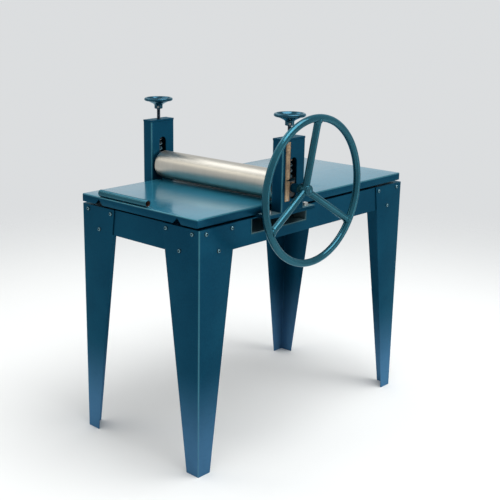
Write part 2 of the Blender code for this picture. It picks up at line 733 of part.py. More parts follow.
def spring(name, place):
    """A compression spring between the block and the cap, as one unbroken tube.

    Each end runs straight for one wire diameter, square to the face that it meets.
    """
    low = AXIS_Z + BLOCK_HEIGHT / 2 + SEAT
    high = CAP_LOW - SEAT
    lead = 2 * SPRING_WIRE_RADIUS
    count = SPRING_CURLS * SPRING_CURL_POINTS
    turns = [math.tau * SPRING_CURLS * i / count for i in range(count + 1)]
    climb = (high - low - 2 * lead) / count
    points = [
        Vector((SPRING_RADIUS * math.cos(t), SPRING_RADIUS * math.sin(t), low + lead + climb * i))
        for i, t in enumerate(turns)
    ]
    points = [Vector((*points[0].xy, low))] + points + [Vector((*points[-1].xy, high))]
    apart = SPRING_CURL_POINTS // 2
    nearest = min(
        (a - b).length for i, a in enumerate(points) for b in points[i + apart:]
    )
    print("spring: least gap to itself, mm", round((nearest - lead) * 1000, 2))
    curve = bpy.data.curves.new(name, "CURVE")
    curve.dimensions = "3D"
    curve.bevel_depth = SPRING_WIRE_RADIUS
    curve.bevel_resolution = 1
    curve.use_fill_caps = True
    line = curve.splines.new("POLY")
    line.points.add(len(points) - 1)
    for slot, point in zip(line.points, points):
        slot.co = (*point, 1)
    curve.materials.append(material(SPRING_BLUE))
    made = bpy.data.objects.new(name, curve)
    bpy.context.collection.objects.link(made)
    made.parent = ROOT
    made.location = place
    return made


def bed():
    """The bed tray with its folded skirts, the runners under it and the grab tube on it."""
    half = BED_WIDTH / 2
    tray = add("bed_tray", box_shape((BED_START, BED_END), (-half, half), (SKIRT_LOW, BED_TOP)), PAINT)
    hollow = box_shape(
        (BED_START + BED_SHEET, BED_END - BED_SHEET),
        (-half + BED_SHEET, half - BED_SHEET),
        (SKIRT_LOW - OVERRUN, BED_UNDER),
    )
    cut(tray, hollow, "bed_hollow")
    apex, inner = RUNNER_APEX, RUNNER_INNER_APEX
    leg = RUNNER_LEG * math.cos(math.radians(45))
    tip = leg - RUNNER_SHEET * math.cos(math.radians(45))
    for side, sign in SIDES.items():
        y = sign * RUNNER_Y
        notch_low = SKIRT_LOW - OVERRUN
        notch = [(y, inner), (y + inner - notch_low, notch_low), (y - inner + notch_low, notch_low)]
        along = (BED_START - OVERRUN, BED_END + OVERRUN)
        cut(tray, prism_shape(notch, "X", *along), f"bed_notches_{side}")
        section = [
            (y, apex), (y + leg, apex - leg), (y + tip, apex - RUNNER_DROP),
            (y, inner), (y - tip, apex - RUNNER_DROP), (y - leg, apex - leg),
        ]
        run = (BED_START + BED_SHEET + SEAT, BED_END - BED_SHEET - SEAT)
        add(f"runner_{side}", prism_shape(section, "X", *run), PAINT)
    tube = ring_profile(GRAB_RADIUS - GRAB_WALL, GRAB_RADIUS, -GRAB_LENGTH / 2, GRAB_LENGTH / 2)
    place = (
        BED_START + GRAB_EDGE_GAP + GRAB_RADIUS, GRAB_SIDESTEP, BED_TOP + SEAT + GRAB_RADIUS,
    )
    add("grab_tube", turned_shape(tube, "Y"), PAINT, place)


def track_wheels():
    """Two cross rails, each with two stirrups, pins and wheels under the runners."""
    ear_inner = TRACK_HALF_WIDTH + TRACK_EAR_GAP
    ear_outer = ear_inner + STIRRUP_SHEET
    ear_high = TRACK_PIN_RADIUS + TRACK_EAR_ABOVE
    base_high = -TRACK_RADIUS - TRACK_FLOOR_GAP
    base_low = base_high - STIRRUP_SHEET
    stirrup_outline = [
        (-ear_outer, ear_high), (-ear_outer, base_low), (ear_outer, base_low), (ear_outer, ear_high),
        (ear_inner, ear_high), (ear_inner, base_high), (-ear_inner, base_high), (-ear_inner, ear_high),
    ]
    edge = TRACK_RADIUS - TRACK_HALF_WIDTH
    bore = TRACK_PIN_RADIUS + SEAT
    wheel_profile = [
        (bore, -TRACK_HALF_WIDTH), (edge, -TRACK_HALF_WIDTH), (TRACK_RADIUS, 0),
        (edge, TRACK_HALF_WIDTH), (bore, TRACK_HALF_WIDTH),
    ]
    pin_profile = rod_profile(TRACK_PIN_RADIUS, -ear_outer, ear_outer)
    rail_high = TRACK_Z + base_low - SEAT
    rail_low = rail_high - WHEEL_RAIL_DEPTH
    half = WHEEL_RAIL_WIDTH / 2
    reach = SIDE_WEB - SHEET - SEAT
    stirrup = wheel = pin = None
    for end, x_sign in ENDS.items():
        x = x_sign * TRACK_X
        rail_outline = [
            (x - half, rail_low), (x - half, rail_high), (x + half, rail_high), (x + half, rail_low),
            (x + half - SHEET, rail_low), (x + half - SHEET, rail_high - SHEET),
            (x - half + SHEET, rail_high - SHEET), (x - half + SHEET, rail_low),
        ]
        add(f"wheel_rail_{end}", prism_shape(rail_outline, "Y", -reach, reach), PAINT)
        for side, y_sign in SIDES.items():
            place = (x, y_sign * RUNNER_Y, TRACK_Z)
            if stirrup:
                copy_of(stirrup, f"wheel_stirrup_{end}_{side}", place)
                copy_of(wheel, f"track_wheel_{end}_{side}", place)
                copy_of(pin, f"wheel_pin_{end}_{side}", place)
                continue
            length = (-STIRRUP_LENGTH / 2, STIRRUP_LENGTH / 2)
            stirrup = add(
                f"wheel_stirrup_{end}_{side}", prism_shape(stirrup_outline, "X", *length), PAINT, place
            )
            hole = turned_shape(
                rod_profile(bore, -ear_outer - OVERRUN, ear_outer + OVERRUN), "Y", SMALL_STEPS
            )
            reshape(stirrup, hole, "DIFFERENCE")
            wheel = add(
                f"track_wheel_{end}_{side}", turned_shape(wheel_profile, "Y"), PLAIN_STEEL, place
            )
            pin = add(
                f"wheel_pin_{end}_{side}", turned_shape(pin_profile, "Y", SMALL_STEPS), ZINC, place
            )


def backing_roller():
    """The roller under the nip, on an axle held by two upright brackets in the cross beam."""
    centre = (AXIS_X, 0, BACKING_Z)
    bore = BACKING_AXLE_RADIUS + SEAT
    body = ring_profile(bore, BACKING_RADIUS, -BACKING_HALF, BACKING_HALF)
    add("backing_roller", turned_shape(body, "Y"), PLAIN_STEEL, centre)
    axle = rod_profile(BACKING_AXLE_RADIUS, -BACKING_AXLE_HALF, BACKING_AXLE_HALF)
    add("backing_axle", turned_shape(axle, "Y", SMALL_STEPS), PLAIN_STEEL, centre)
    wide = BACKING_BRACKET_WIDTH / 2
    heights = (BEAM_LOW + SHEET + SEAT, BACKING_Z + BACKING_BRACKET_ABOVE)
    for side, sign in SIDES.items():
        across = sorted((sign * BACKING_EAR, sign * (BACKING_EAR + BACKING_BRACKET_SHEET)))
        bracket = add(
            f"backing_bracket_{side}",
            box_shape((AXIS_X - wide, AXIS_X + wide), across, heights),
            PAINT,
        )
        hole = turned_shape(
            rod_profile(bore, across[0] - OVERRUN, across[1] + OVERRUN), "Y", SMALL_STEPS
        )
        cut(bracket, moved(hole, (AXIS_X, 0, BACKING_Z)), f"backing_bracket_{side}_hole")


clear_scene()
ROOT = bpy.data.objects.new("slab_roller", None)
bpy.context.collection.objects.link(ROOT)
ROOT.location = ORIGIN_SHIFT

side_rails()
end_rails()
legs()
cross_beam()
plates()
foot_bolts()
posts()
height_ruler()
height_pointer()
bearing_blocks()
roller()
drive_handwheel()
pressure_screws()
bed()
track_wheels()
backing_roller()
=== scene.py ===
"""Clay slab roller, dressed: worked-out surfaces with painted, ground and plated finishes.

Metres, +Z up. The bed runs along X and the large handwheel stands on the -Y side.
"""

import math

import bmesh
import bpy
import numpy as np
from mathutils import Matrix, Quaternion, Vector


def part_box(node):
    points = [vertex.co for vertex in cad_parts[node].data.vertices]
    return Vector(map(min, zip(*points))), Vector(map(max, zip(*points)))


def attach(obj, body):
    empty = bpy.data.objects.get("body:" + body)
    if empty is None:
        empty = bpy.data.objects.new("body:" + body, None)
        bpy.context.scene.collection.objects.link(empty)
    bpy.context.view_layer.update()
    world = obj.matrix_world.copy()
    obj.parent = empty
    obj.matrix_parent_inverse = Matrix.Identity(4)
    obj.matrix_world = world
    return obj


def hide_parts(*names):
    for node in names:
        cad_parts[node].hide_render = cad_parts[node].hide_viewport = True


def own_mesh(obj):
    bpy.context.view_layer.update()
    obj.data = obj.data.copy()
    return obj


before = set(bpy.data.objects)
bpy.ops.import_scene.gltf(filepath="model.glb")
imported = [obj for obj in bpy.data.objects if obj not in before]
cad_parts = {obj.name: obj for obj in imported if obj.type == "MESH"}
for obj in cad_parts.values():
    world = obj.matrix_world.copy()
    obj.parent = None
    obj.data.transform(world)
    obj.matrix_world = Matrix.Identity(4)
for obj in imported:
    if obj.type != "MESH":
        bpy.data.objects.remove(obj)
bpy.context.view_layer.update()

TAU = math.tau
SIDES = {"near": -1, "far": 1}
ENDS = {"infeed": -1, "outfeed": 1}


# Places and sizes, most of them read from the frame

def corners(node):
    """A node's lowest and highest corner as arrays."""
    low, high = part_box(node)
    return np.array(low), np.array(high)


def middle(node):
    """The centre of a node's box."""
    return sum(corners(node)) / 2


AXIS_X, _, AXIS_Z = middle("roller_tube")
BED_LOW, BED_HIGH = corners("bed_tray")
BED_TOP = BED_HIGH[2]
LEG_LOW, LEG_HIGH = corners("leg_infeed_near")
STAND_X = (LEG_LOW[0], corners("leg_outfeed_near")[1][0])
STAND_Y = (LEG_LOW[1], corners("leg_infeed_far")[1][1])
FRAME_TOP = LEG_HIGH[2]
SHEET = 0.003              # the sheet of the legs, the bed and the runners
SHAFT_FIT = 0.0128         # the radius of the bores that the roller's shaft goes through
LEG_FOOT_WIDTH = 0.050
LEG_TOP_WIDTH = LEG_HIGH[0] - LEG_LOW[0]


# Surfaces

def grid(points, rows=False, cols=True, caps=None, mark=0):
    """A patch of a piece: rows x columns of points, whether each way closes on itself, its finish,
    as one number or as one for each row or column of faces, and the finishes of the flat faces on
    its first and last row, if it has them."""
    return {"points": points, "rows": rows, "cols": cols, "caps": caps, "mark": mark}


def placed(name, data):
    """A new object in the scene."""
    made = bpy.data.objects.new(name, data)
    bpy.context.scene.collection.objects.link(made)
    return made


def piece(name, patches, finishes, body, stands_for=(), sharp=38):
    """One mesh from grids of points.

    Each grid gives a quad between every four neighbours. A grid that closes on itself joins its
    last row or column to the first, and a capped one gets a flat face on its first and last row.
    Points that meet become one, which closes the poles and seams.
    """
    points, faces, marks, start = [], [], [], 0
    for patch in patches:
        rows, cols = patch["points"].shape[:2]
        index = start + np.arange(rows * cols).reshape(rows, cols)
        rims = [index[0][::-1].tolist(), index[-1].tolist()] if patch["caps"] else []
        index = np.hstack([index, index[:, :1]]) if patch["cols"] else index
        index = np.vstack([index, index[:1]]) if patch["rows"] else index
        quads = np.stack([index[:-1, :-1], index[:-1, 1:], index[1:, 1:], index[1:, :-1]], axis=-1)
        faces += quads.reshape(-1, 4).tolist() + rims
        marks += np.broadcast_to(patch["mark"], quads.shape[:2]).ravel().tolist()
        marks += patch["caps"] or ()
        points.append(patch["points"].reshape(-1, 3))
        start += rows * cols
    mesh = bpy.data.meshes.new(name)
    mesh.from_pydata(np.concatenate(points), [], faces)
    for finish in finishes:
        mesh.materials.append(finish)
    mesh.polygons.foreach_set("material_index", np.array(marks, np.int32))
    shape = bmesh.new()
    shape.from_mesh(mesh)
    bmesh.ops.remove_doubles(shape, verts=shape.verts, dist=2e-6)
    bmesh.ops.recalc_face_normals(shape, faces=shape.faces)
    shape.to_mesh(mesh)
    shape.free()
    mesh.shade_smooth()
    mesh.set_sharp_from_angle(angle=math.radians(sharp))
    made = placed(name, mesh)
    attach(made, body)
    if stands_for:
        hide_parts(*stands_for)
    return made


def rounded(outline, radius, steps=4):
    """A closed outline with soft corners: each corner P becomes the curve
    (1-s)^2 A + 2s(1-s) P + s^2 B, where A and B lie one radius from P along its two sides."""
    c = np.array(outline, float)
    r = np.broadcast_to(np.asarray(radius, float), len(c))[:, None]
    back, on = np.roll(c, 1, axis=0) - c, np.roll(c, -1, axis=0) - c
    a = c + back / np.linalg.norm(back, axis=1, keepdims=True) * r
    b = c + on / np.linalg.norm(on, axis=1, keepdims=True) * r
    s = np.linspace(0, 1, steps + 1)[None, :, None]
    curve = (1 - s) ** 2 * a[:, None] + 2 * s * (1 - s) * c[:, None] + s ** 2 * b[:, None]
    return curve.reshape(-1, 2)


def turned(profile, centre, axis="Y", steps=96, closed=False, mark=0):
    """A surface of revolution: each (radius r, height h) becomes the ring (r cos t, r sin t) at h."""
    r, h = np.array(profile, float).T[:, :, None]
    t = np.linspace(0, TAU, steps, endpoint=False)[None]
    across, up, level = r * np.cos(t), r * np.sin(t), h + 0 * t
    ring = (across, level, up) if axis == "Y" else (across, up, level)
    return grid(np.stack(ring, axis=-1) + np.array(centre), rows=closed, mark=mark)


def swept(path, radius, up, steps):
    """A tube along a path: round each point P the ring P + r (cos t A + sin t B), where A is square
    to the path and to the given direction and B is square to both. The radius may change on the way."""
    path = np.array(path, float)
    along = np.gradient(path, axis=0)
    along /= np.linalg.norm(along, axis=1, keepdims=True)
    a = np.cross(along, up)
    a /= np.linalg.norm(a, axis=1, keepdims=True)
    b = np.cross(a, along)
    t = np.linspace(0, TAU, steps, endpoint=False)[None, :, None]
    r = np.broadcast_to(np.asarray(radius, float), len(path))[:, None, None]
    rings = path[:, None] + r * (np.cos(t) * a[:, None] + np.sin(t) * b[:, None])
    return grid(rings, caps=(0, 0))


def lofted(outlines, heights, mark=0, caps=(0, 0)):
    """Flat (x, y) outlines of equally many points, one at each height, joined and capped."""
    outlines = np.array(outlines, float)
    z = np.broadcast_to(np.array(heights, float)[:, None, None], (*outlines.shape[:2], 1))
    return grid(np.concatenate([outlines, z], axis=-1), caps=caps, mark=mark)


def slab(low, high, corner, edge=0.0007, top=0):
    """A plate with soft edges, whose top may have a finish of its own: its outline is drawn in by
    e (1 - sin a) while the height rises by e (1 - cos a) to the flat face, above and below."""
    (x0, y0, z0), (x1, y1, z1) = low, high
    turn = np.linspace(0, TAU / 4, 4)
    inset = edge * (1 - np.sin(turn))
    rise = edge * (1 - np.cos(turn))
    insets = np.concatenate([inset, inset[::-1]])
    heights = np.concatenate([z0 + rise, z1 - rise[::-1]])
    outlines = [
        rounded([(x0 + i, y0 + i), (x1 - i, y0 + i), (x1 - i, y1 - i), (x0 + i, y1 - i)], corner)
        for i in insets
    ]
    return lofted(outlines, heights, caps=(0, top))


def reach(node):
    """The radius and both ends of a round node that lies along Y."""
    low, high = corners(node)
    return (high[2] - low[2]) / 2, low[1], high[1]


def drum(bore, radius, y0, y1, ease, lip=None):
    """The section of a turned drum or sleeve: square at the bore, eased at its outer edges."""
    shoulder = radius - (lip or ease)
    return [
        (bore, y0), (shoulder, y0), (radius, y0 + ease),
        (radius, y1 - ease), (shoulder, y1), (bore, y1),
    ]


def pipe(bore, radius, y0, y1, ease):
    """The section of a pipe's wall: all four edges eased, without the bore's own run."""
    return [
        (bore, y0 + ease), (bore + ease, y0), (radius - ease, y0), (radius, y0 + ease),
        (radius, y1 - ease), (radius - ease, y1), (bore + ease, y1), (bore, y1 - ease),
    ]


# Finishes

class Value:
    """A number that changes over a surface: arithmetic on it adds Math nodes."""

    def __init__(self, finish, socket):
        self.finish, self.socket = finish, socket

    def maths(self, operation, *others):
        """This value put through a Math node with the others."""
        inputs = dict(enumerate((self, *others)))
        return self.finish.node("ShaderNodeMath", {"operation": operation}, inputs)

    def __add__(self, other):
        return self.maths("ADD", other)

    def __sub__(self, other):
        return self.maths("SUBTRACT", other)

    def __rsub__(self, other):
        return self.finish.node("ShaderNodeMath", {"operation": "SUBTRACT"}, {0: other, 1: self})

    def __mul__(self, other):
        return self.maths("MULTIPLY", other)

    __radd__, __rmul__ = __add__, __mul__

    def between(self, low, high):
        """0 below low, 1 above high and smooth between."""
        inputs = {"Value": self, "From Min": low, "From Max": high}
        return self.finish.node("ShaderNodeMapRange", {"interpolation_type": "SMOOTHSTEP"}, inputs)


class Finish:
    """One material: a Principled shader and the nodes that feed it."""

    def __init__(self, name, **constants):
        self.made = bpy.data.materials.new(name)
        self.made.use_nodes = True
        self.tree = self.made.node_tree
        self.shader = self.tree.nodes["Principled BSDF"]
        for socket, value in constants.items():
            self.shader.inputs[socket.replace("_", " ")].default_value = value

    def node(self, kind, settings=None, inputs=None, output=0):
        """Any other node: its settings come first, then the values or links of its sockets."""
        made = self.tree.nodes.new(kind)
        for key, value in (settings or {}).items():
            setattr(made, key, value)
        for key, value in (inputs or {}).items():
            if isinstance(value, Value):
                self.tree.links.new(value.socket, made.inputs[key])
            else:
                made.inputs[key].default_value = value
        return Value(self, made.outputs[output])

    def at(self, scale=(1, 1, 1), shift=(0, 0, 0)):
        """Object coordinates, stretched and shifted."""
        place = self.node("ShaderNodeTexCoord", output=3)
        inputs = {"Vector": place, "Scale": scale, "Location": shift}
        return self.node("ShaderNodeMapping", inputs=inputs)

    def height(self):
        """The height above the floor."""
        return self.node("ShaderNodeSeparateXYZ", inputs={0: self.at()}, output=2)

    def noise(self, scale, detail=3.0, roughness=0.55, place=None):
        """Cloudy variation, as a value from 0 to 1."""
        inputs = {"Vector": place or self.at(), "Scale": scale, "Detail": detail, "Roughness": roughness}
        return self.node("ShaderNodeTexNoise", inputs=inputs)

    def cells(self, scale):
        """Distance to the nearest of many scattered points, with soft borders."""
        inputs = {"Vector": self.at(), "Scale": scale}
        return self.node("ShaderNodeTexVoronoi", {"feature": "SMOOTH_F1"}, inputs)

    def mix(self, factor, first, second):
        """One colour going over into another."""
        pair = {6: first if isinstance(first, Value) else (*first, 1)}
        pair[7] = second if isinstance(second, Value) else (*second, 1)
        return self.node("ShaderNodeMix", {"data_type": "RGBA"}, {0: factor, **pair}, output=2)

    def feed(self, socket, value):
        """Link a value to the shader."""
        self.tree.links.new(value.socket, self.shader.inputs[socket])

    def bump(self, height, strength, distance):
        """Raise and sink the surface by a value."""
        inputs = {"Height": height, "Strength": strength, "Distance": distance}
        self.feed("Normal", self.node("ShaderNodeBump", inputs=inputs))


def hammered_paint(name, deep, light, gloss, fleck=0.0, floor_glow_and_dust=0.0, coat=0.10):
    """Blue metal-flake paint with a hammered skin: smooth cells a few millimetres across, paler in
    their middles, clouds of darker and paler tone over them, pale flecks, fine scuffs that take the
    gloss off, and a painted glow towards the floor, paler and bluer, that stands in for light thrown
    up from the floor, with a little dusty dulling of the gloss there."""
    made = Finish(
        name, Metallic=0.70, Specular_IOR_Level=0.08, Specular_Tint=(0.45, 0.78, 0.92, 1),
        Coat_Weight=coat, Coat_Roughness=0.12,
    )
    pale_fleck, floor_glow_blue = (0.16, 0.21, 0.20), (0.070, 0.185, 0.335)
    cells = made.cells(230)
    clouds = made.noise(5.5, 4)
    speckle = made.noise(620, 3, 0.6)
    tone = clouds.between(0.3, 0.7) * 0.5 + (1 - cells.between(0.0, 0.75)) * 0.3 + speckle * 0.2
    flecks = speckle.between(0.56, 0.72) * cells.between(0.25, 0.6) * fleck
    low = 1 - made.height().between(0.02, 0.34)
    colour = made.mix(flecks, made.mix(tone, deep, light), pale_fleck)
    # Painted light: the colour turns paler and bluer towards the floor, standing in for light thrown up
    # from the pale floor.
    made.feed("Base Color", made.mix(low * floor_glow_and_dust * (0.7 + clouds * 0.6), colour, floor_glow_blue))
    scuffs = made.noise(26, 6, 0.7, made.at((1, 1, 3.5))).between(0.52, 0.78)
    made.feed("Roughness", gloss * (1 + scuffs * 0.6 + speckle * 0.25) + low * floor_glow_and_dust * 0.1)
    made.bump(cells * 0.8 + speckle * 0.2, 0.28, 0.0006)
    return made.made


def bed_paint():
    """The bed's top: the same paint rubbed smooth by canvas and boards, but coloured much paler and
    bluer as a painted sheen of the bright sky it mirrors, with faint streaks along the bed's run, dull
    patches of dried slip and a painted shadow: a dull, darker line under the roller, where its shade
    falls at the nip."""
    made = Finish("bed_paint", Coat_Roughness=0.10, Specular_IOR_Level=0.25)
    clouds = made.noise(3.2, 5)
    streaks = made.noise(1.0, 5, 0.6, made.at((5, 130, 60)))
    cells = made.cells(230)
    dimples = made.noise(105, 2)
    worn = streaks.between(0.3, 0.7)
    tone = clouds.between(0.3, 0.72) * 0.5 + worn * 0.2 + dimples.between(0.3, 0.7) * 0.3
    # Painted sheen: the top is coloured much paler and bluer than the stand paint, standing in for the
    # bright sky that it mirrors at a low angle.
    colour = made.mix(tone, (0.016, 0.160, 0.250), (0.040, 0.245, 0.350))
    # Painted shadow: a darker band across the bed under the roller, where its shade falls at the nip; it
    # is also duller and less glossy there.
    from_roller = made.at(shift=(-AXIS_X, 0, 0))
    off_line = made.node("ShaderNodeSeparateXYZ", inputs={0: from_roller}).maths("ABSOLUTE")
    nip_shadow = 1 - off_line.between(0.006, 0.022)
    made.feed("Base Color", made.mix(nip_shadow * 0.60, colour, (0.003, 0.030, 0.048)))
    slip = made.noise(9.0, 7, 0.68).between(0.56, 0.80)
    made.feed("Roughness", 0.16 + slip * 0.14 + worn * 0.05 + nip_shadow * 0.30)
    made.feed("Coat Weight", (0.28 - slip * 0.15) * (1 - nip_shadow))
    made.feed("Metallic", 0.5 * (1 - nip_shadow * 0.9))
    made.bump(dimples * 0.6 + cells * 0.3 + streaks * 0.8, 0.26, 0.0006)
    return made.made


def ground_steel():
    """The roller: bright steel ground round its axis, so the fine lines run round it, with a warm tint
    in the tone that is a painted reflection of warm surroundings, and a few dull rub bands."""
    made = Finish("ground_steel", Metallic=1.0)
    lines = made.noise(1.0, 4, 0.7, made.at((9, 1500, 9)))
    bands = made.noise(1.0, 3, 0.5, made.at((2, 34, 2)))
    stains = made.noise(14, 6, 0.65).between(0.55, 0.8)
    tone = lines.between(0.25, 0.75) * 0.5 + bands * 0.5
    # Painted reflection: the steel's tone is tinted warm, standing in for warm surroundings that it
    # mirrors and damping the bed's blue in its lower half.
    bright = made.mix(tone, (0.43, 0.410, 0.365), (0.57, 0.548, 0.490))
    made.feed("Base Color", made.mix(stains * 0.25, bright, (0.42, 0.38, 0.32)))
    made.feed("Roughness", 0.29 + lines * 0.12 + bands * 0.06 + stains * 0.08)
    made.bump(lines, 0.10, 0.0002)
    return made.made


def machined_steel(name, dark, bright, dull=0.34, ring=(60, 60, 900)):
    """Turned or milled steel with tool lines across one direction, oiled and a little stained."""
    made = Finish(name, Metallic=1.0)
    lines = made.noise(1.0, 3, 0.6, made.at(ring))
    stains = made.noise(60, 6, 0.7).between(0.5, 0.78)
    bright = made.mix(lines.between(0.3, 0.7), dark, bright)
    made.feed("Base Color", made.mix(stains * 0.45, bright, (0.12, 0.095, 0.075)))
    made.feed("Roughness", dull + lines * 0.10 + stains * 0.16)
    made.bump(lines, 0.12, 0.0002)
    return made.made


def plated_zinc():
    """Zinc plate: pale metal with a fine grain, faint yellow and blue tints and dull patches."""
    made = Finish("plated_zinc", Metallic=1.0)
    tint = made.noise(38, 3)
    grain = made.noise(850, 2)
    dull = made.noise(110, 5, 0.7).between(0.5, 0.8)
    pale = made.mix(tint.between(0.35, 0.65), (0.50, 0.50, 0.46), (0.46, 0.49, 0.52))
    made.feed("Base Color", made.mix(dull * 0.5, pale, (0.28, 0.27, 0.24)))
    made.feed("Roughness", 0.26 + grain * 0.12 + dull * 0.18)
    made.bump(grain, 0.10, 0.0002)
    return made.made


def bearing_bronze():
    """Cast bronze with turning marks and brown oil stains."""
    made = Finish("bearing_bronze", Metallic=1.0)
    lines = made.noise(1.0, 3, 0.6, made.at((40, 900, 40)))
    stains = made.noise(70, 5, 0.7).between(0.45, 0.75)
    made.feed("Base Color", made.mix(stains * 0.7, (0.17, 0.11, 0.06), (0.06, 0.04, 0.03)))
    made.feed("Roughness", 0.30 + lines * 0.12 + stains * 0.15)
    made.bump(lines, 0.12, 0.0002)
    return made.made


def ruler_tan():
    """The ruler's face: tan lacquer, yellower where it is clean and browner where hands have been."""
    made = Finish("ruler_tan", Metallic=0.35)
    grime = made.noise(45, 5, 0.65).between(0.38, 0.72)
    brushed = made.noise(1.0, 3, 0.6, made.at((1500, 60, 40)))
    tan = made.mix(grime, (0.44, 0.30, 0.17), (0.22, 0.135, 0.08))
    made.feed("Base Color", made.mix(brushed * 0.25, tan, (0.55, 0.42, 0.28)))
    made.feed("Roughness", 0.34 + grime * 0.2 + brushed * 0.08)
    made.bump(brushed, 0.08, 0.0001)
    return made.made


def ruler_black():
    """Black filled marks, worn grey in places."""
    made = Finish("ruler_black", Metallic=0.0)
    wear = made.noise(300, 4).between(0.5, 0.8)
    made.feed("Base Color", made.mix(wear * 0.5, (0.010, 0.010, 0.012), (0.10, 0.08, 0.06)))
    made.feed("Roughness", 0.45 + wear * 0.2)
    made.bump(wear, 0.05, 0.0001)
    return made.made


def spring_paint():
    """Spring wire: blue paint that the coils have rubbed through to brown steel at the top."""
    made = Finish("spring_paint", Metallic=0.7)
    worn = made.noise(120, 5, 0.65).between(0.46, 0.60)
    high = made.height().between(0.895, 0.925)
    made.feed("Base Color", made.mix(worn * 0.5 + high * 0.5, (0.05, 0.17, 0.24), (0.30, 0.20, 0.13)))
    made.feed("Roughness", 0.30 + worn * 0.2)
    made.bump(worn, 0.15, 0.0002)
    return made.made


def bare_bore():
    """The unpainted inside of the grab tube: brown mill scale with a red rust bloom."""
    made = Finish("bare_bore", Metallic=0.4)
    rust = made.noise(160, 6, 0.7).between(0.42, 0.66)
    made.feed("Base Color", made.mix(rust, (0.075, 0.050, 0.042), (0.26, 0.11, 0.06)))
    made.feed("Roughness", 0.6 + rust * 0.25)
    made.bump(rust, 0.3, 0.0004)
    return made.made


PAINT = hammered_paint(
    "stand_paint", (0.0012, 0.034, 0.070), (0.0040, 0.058, 0.106), 0.34, floor_glow_and_dust=0.8, coat=0.03)
# Painted highlight: a paler, glossier copy of the stand paint, laid on the legs' and posts' outer bends
# and the bed's fold to stand in for the light lines along them.
BEND_HIGHLIGHT_PAINT = hammered_paint(
    "bend_highlight_paint", (0.012, 0.110, 0.165), (0.040, 0.190, 0.240), 0.30, floor_glow_and_dust=0.5, coat=0.5)
WHEEL_PAINT = hammered_paint(
    "wheel_paint", (0.0040, 0.052, 0.078), (0.0160, 0.110, 0.150), 0.17, fleck=0.5, coat=0.22)
KNOB_PAINT = hammered_paint(
    "knob_paint", (0.0020, 0.034, 0.062), (0.0080, 0.078, 0.118), 0.14, fleck=0.15, coat=0.30)
SCREW_PAINT = hammered_paint(
    "screw_paint", (0.070, 0.170, 0.210), (0.150, 0.280, 0.320), 0.17, coat=0.7)
# Near-black paint: on the screw heads' flange rings and in their sockets it is painted shade, the shadow
# round each head and the dark inside the socket; on the height pointer it makes the pointer near-black.
SHADE_AND_POINTER_BLACK = hammered_paint(
    "shade_and_pointer_black", (0.0008, 0.006, 0.010), (0.0020, 0.011, 0.017), 0.50, coat=0.0)
# Painted light: a paler, greyer copy of the stand paint. It lightens the cross beam, which sits in shade
# inside the rail windows, and gives the foot plates' tops a painted reflection of the bright sky.
PALE_LIT_PAINT = hammered_paint(
    "pale_lit_paint", (0.070, 0.150, 0.180), (0.150, 0.230, 0.240), 0.42, fleck=0.8)
BED_PAINT = bed_paint()
ROLLER_STEEL = ground_steel()
SHAFT_STEEL = machined_steel("shaft_steel", (0.30, 0.30, 0.31), (0.48, 0.48, 0.48), ring=(40, 900, 40))
SCREW_STEEL = machined_steel("screw_steel", (0.030, 0.048, 0.070), (0.085, 0.115, 0.150), 0.30)
BLOCK_STEEL = machined_steel("block_steel", (0.055, 0.058, 0.062), (0.12, 0.12, 0.12), 0.40)
ZINC = plated_zinc()
BRONZE = bearing_bronze()
TAN, BLACK = ruler_tan(), ruler_black()
SPRING = spring_paint()
BORE = bare_bore()


# Pieces

def stand_corners():
    """The stand's four corners: name, x, y and the ways out along X and Y."""
    for end, x_sign in ENDS.items():
        for side, y_sign in SIDES.items():
            x, y = STAND_X[(1 + x_sign) // 2], STAND_Y[(1 + y_sign) // 2]
            yield f"{end}_{side}", x, y, x_sign, y_sign


def legs():
    """Bent-sheet legs: an L section, its outer bend at a corner of the stand, widens evenly from the
    foot to the top."""
    bend, edge, inner_bend, bend_faces = 0.0032, 0.0007, 0.0012, 5
    share = np.linspace(0, 1, 14)
    for name, x, y, x_sign, y_sign in stand_corners():
        outlines = []
        for width in LEG_FOOT_WIDTH + (LEG_TOP_WIDTH - LEG_FOOT_WIDTH) * share:
            steps = [(0, 0), (width, 0), (width, SHEET), (SHEET, SHEET), (SHEET, width), (0, width)]
            outline = [(x - x_sign * a, y - y_sign * b) for a, b in steps]
            outlines.append(rounded(outline, [bend, edge, edge, inner_bend, edge, edge], bend_faces))
        # Painted highlight: the outer bend takes the paler bend paint, a light line down the leg's
        # corner.
        over_bend = (np.arange(len(outlines[0])) < bend_faces).astype(int)
        sheet = lofted(outlines, share * FRAME_TOP, over_bend)
        piece(f"leg_{name}_sheet", [sheet], [PAINT, BEND_HIGHLIGHT_PAINT], "stand", [f"leg_{name}"])


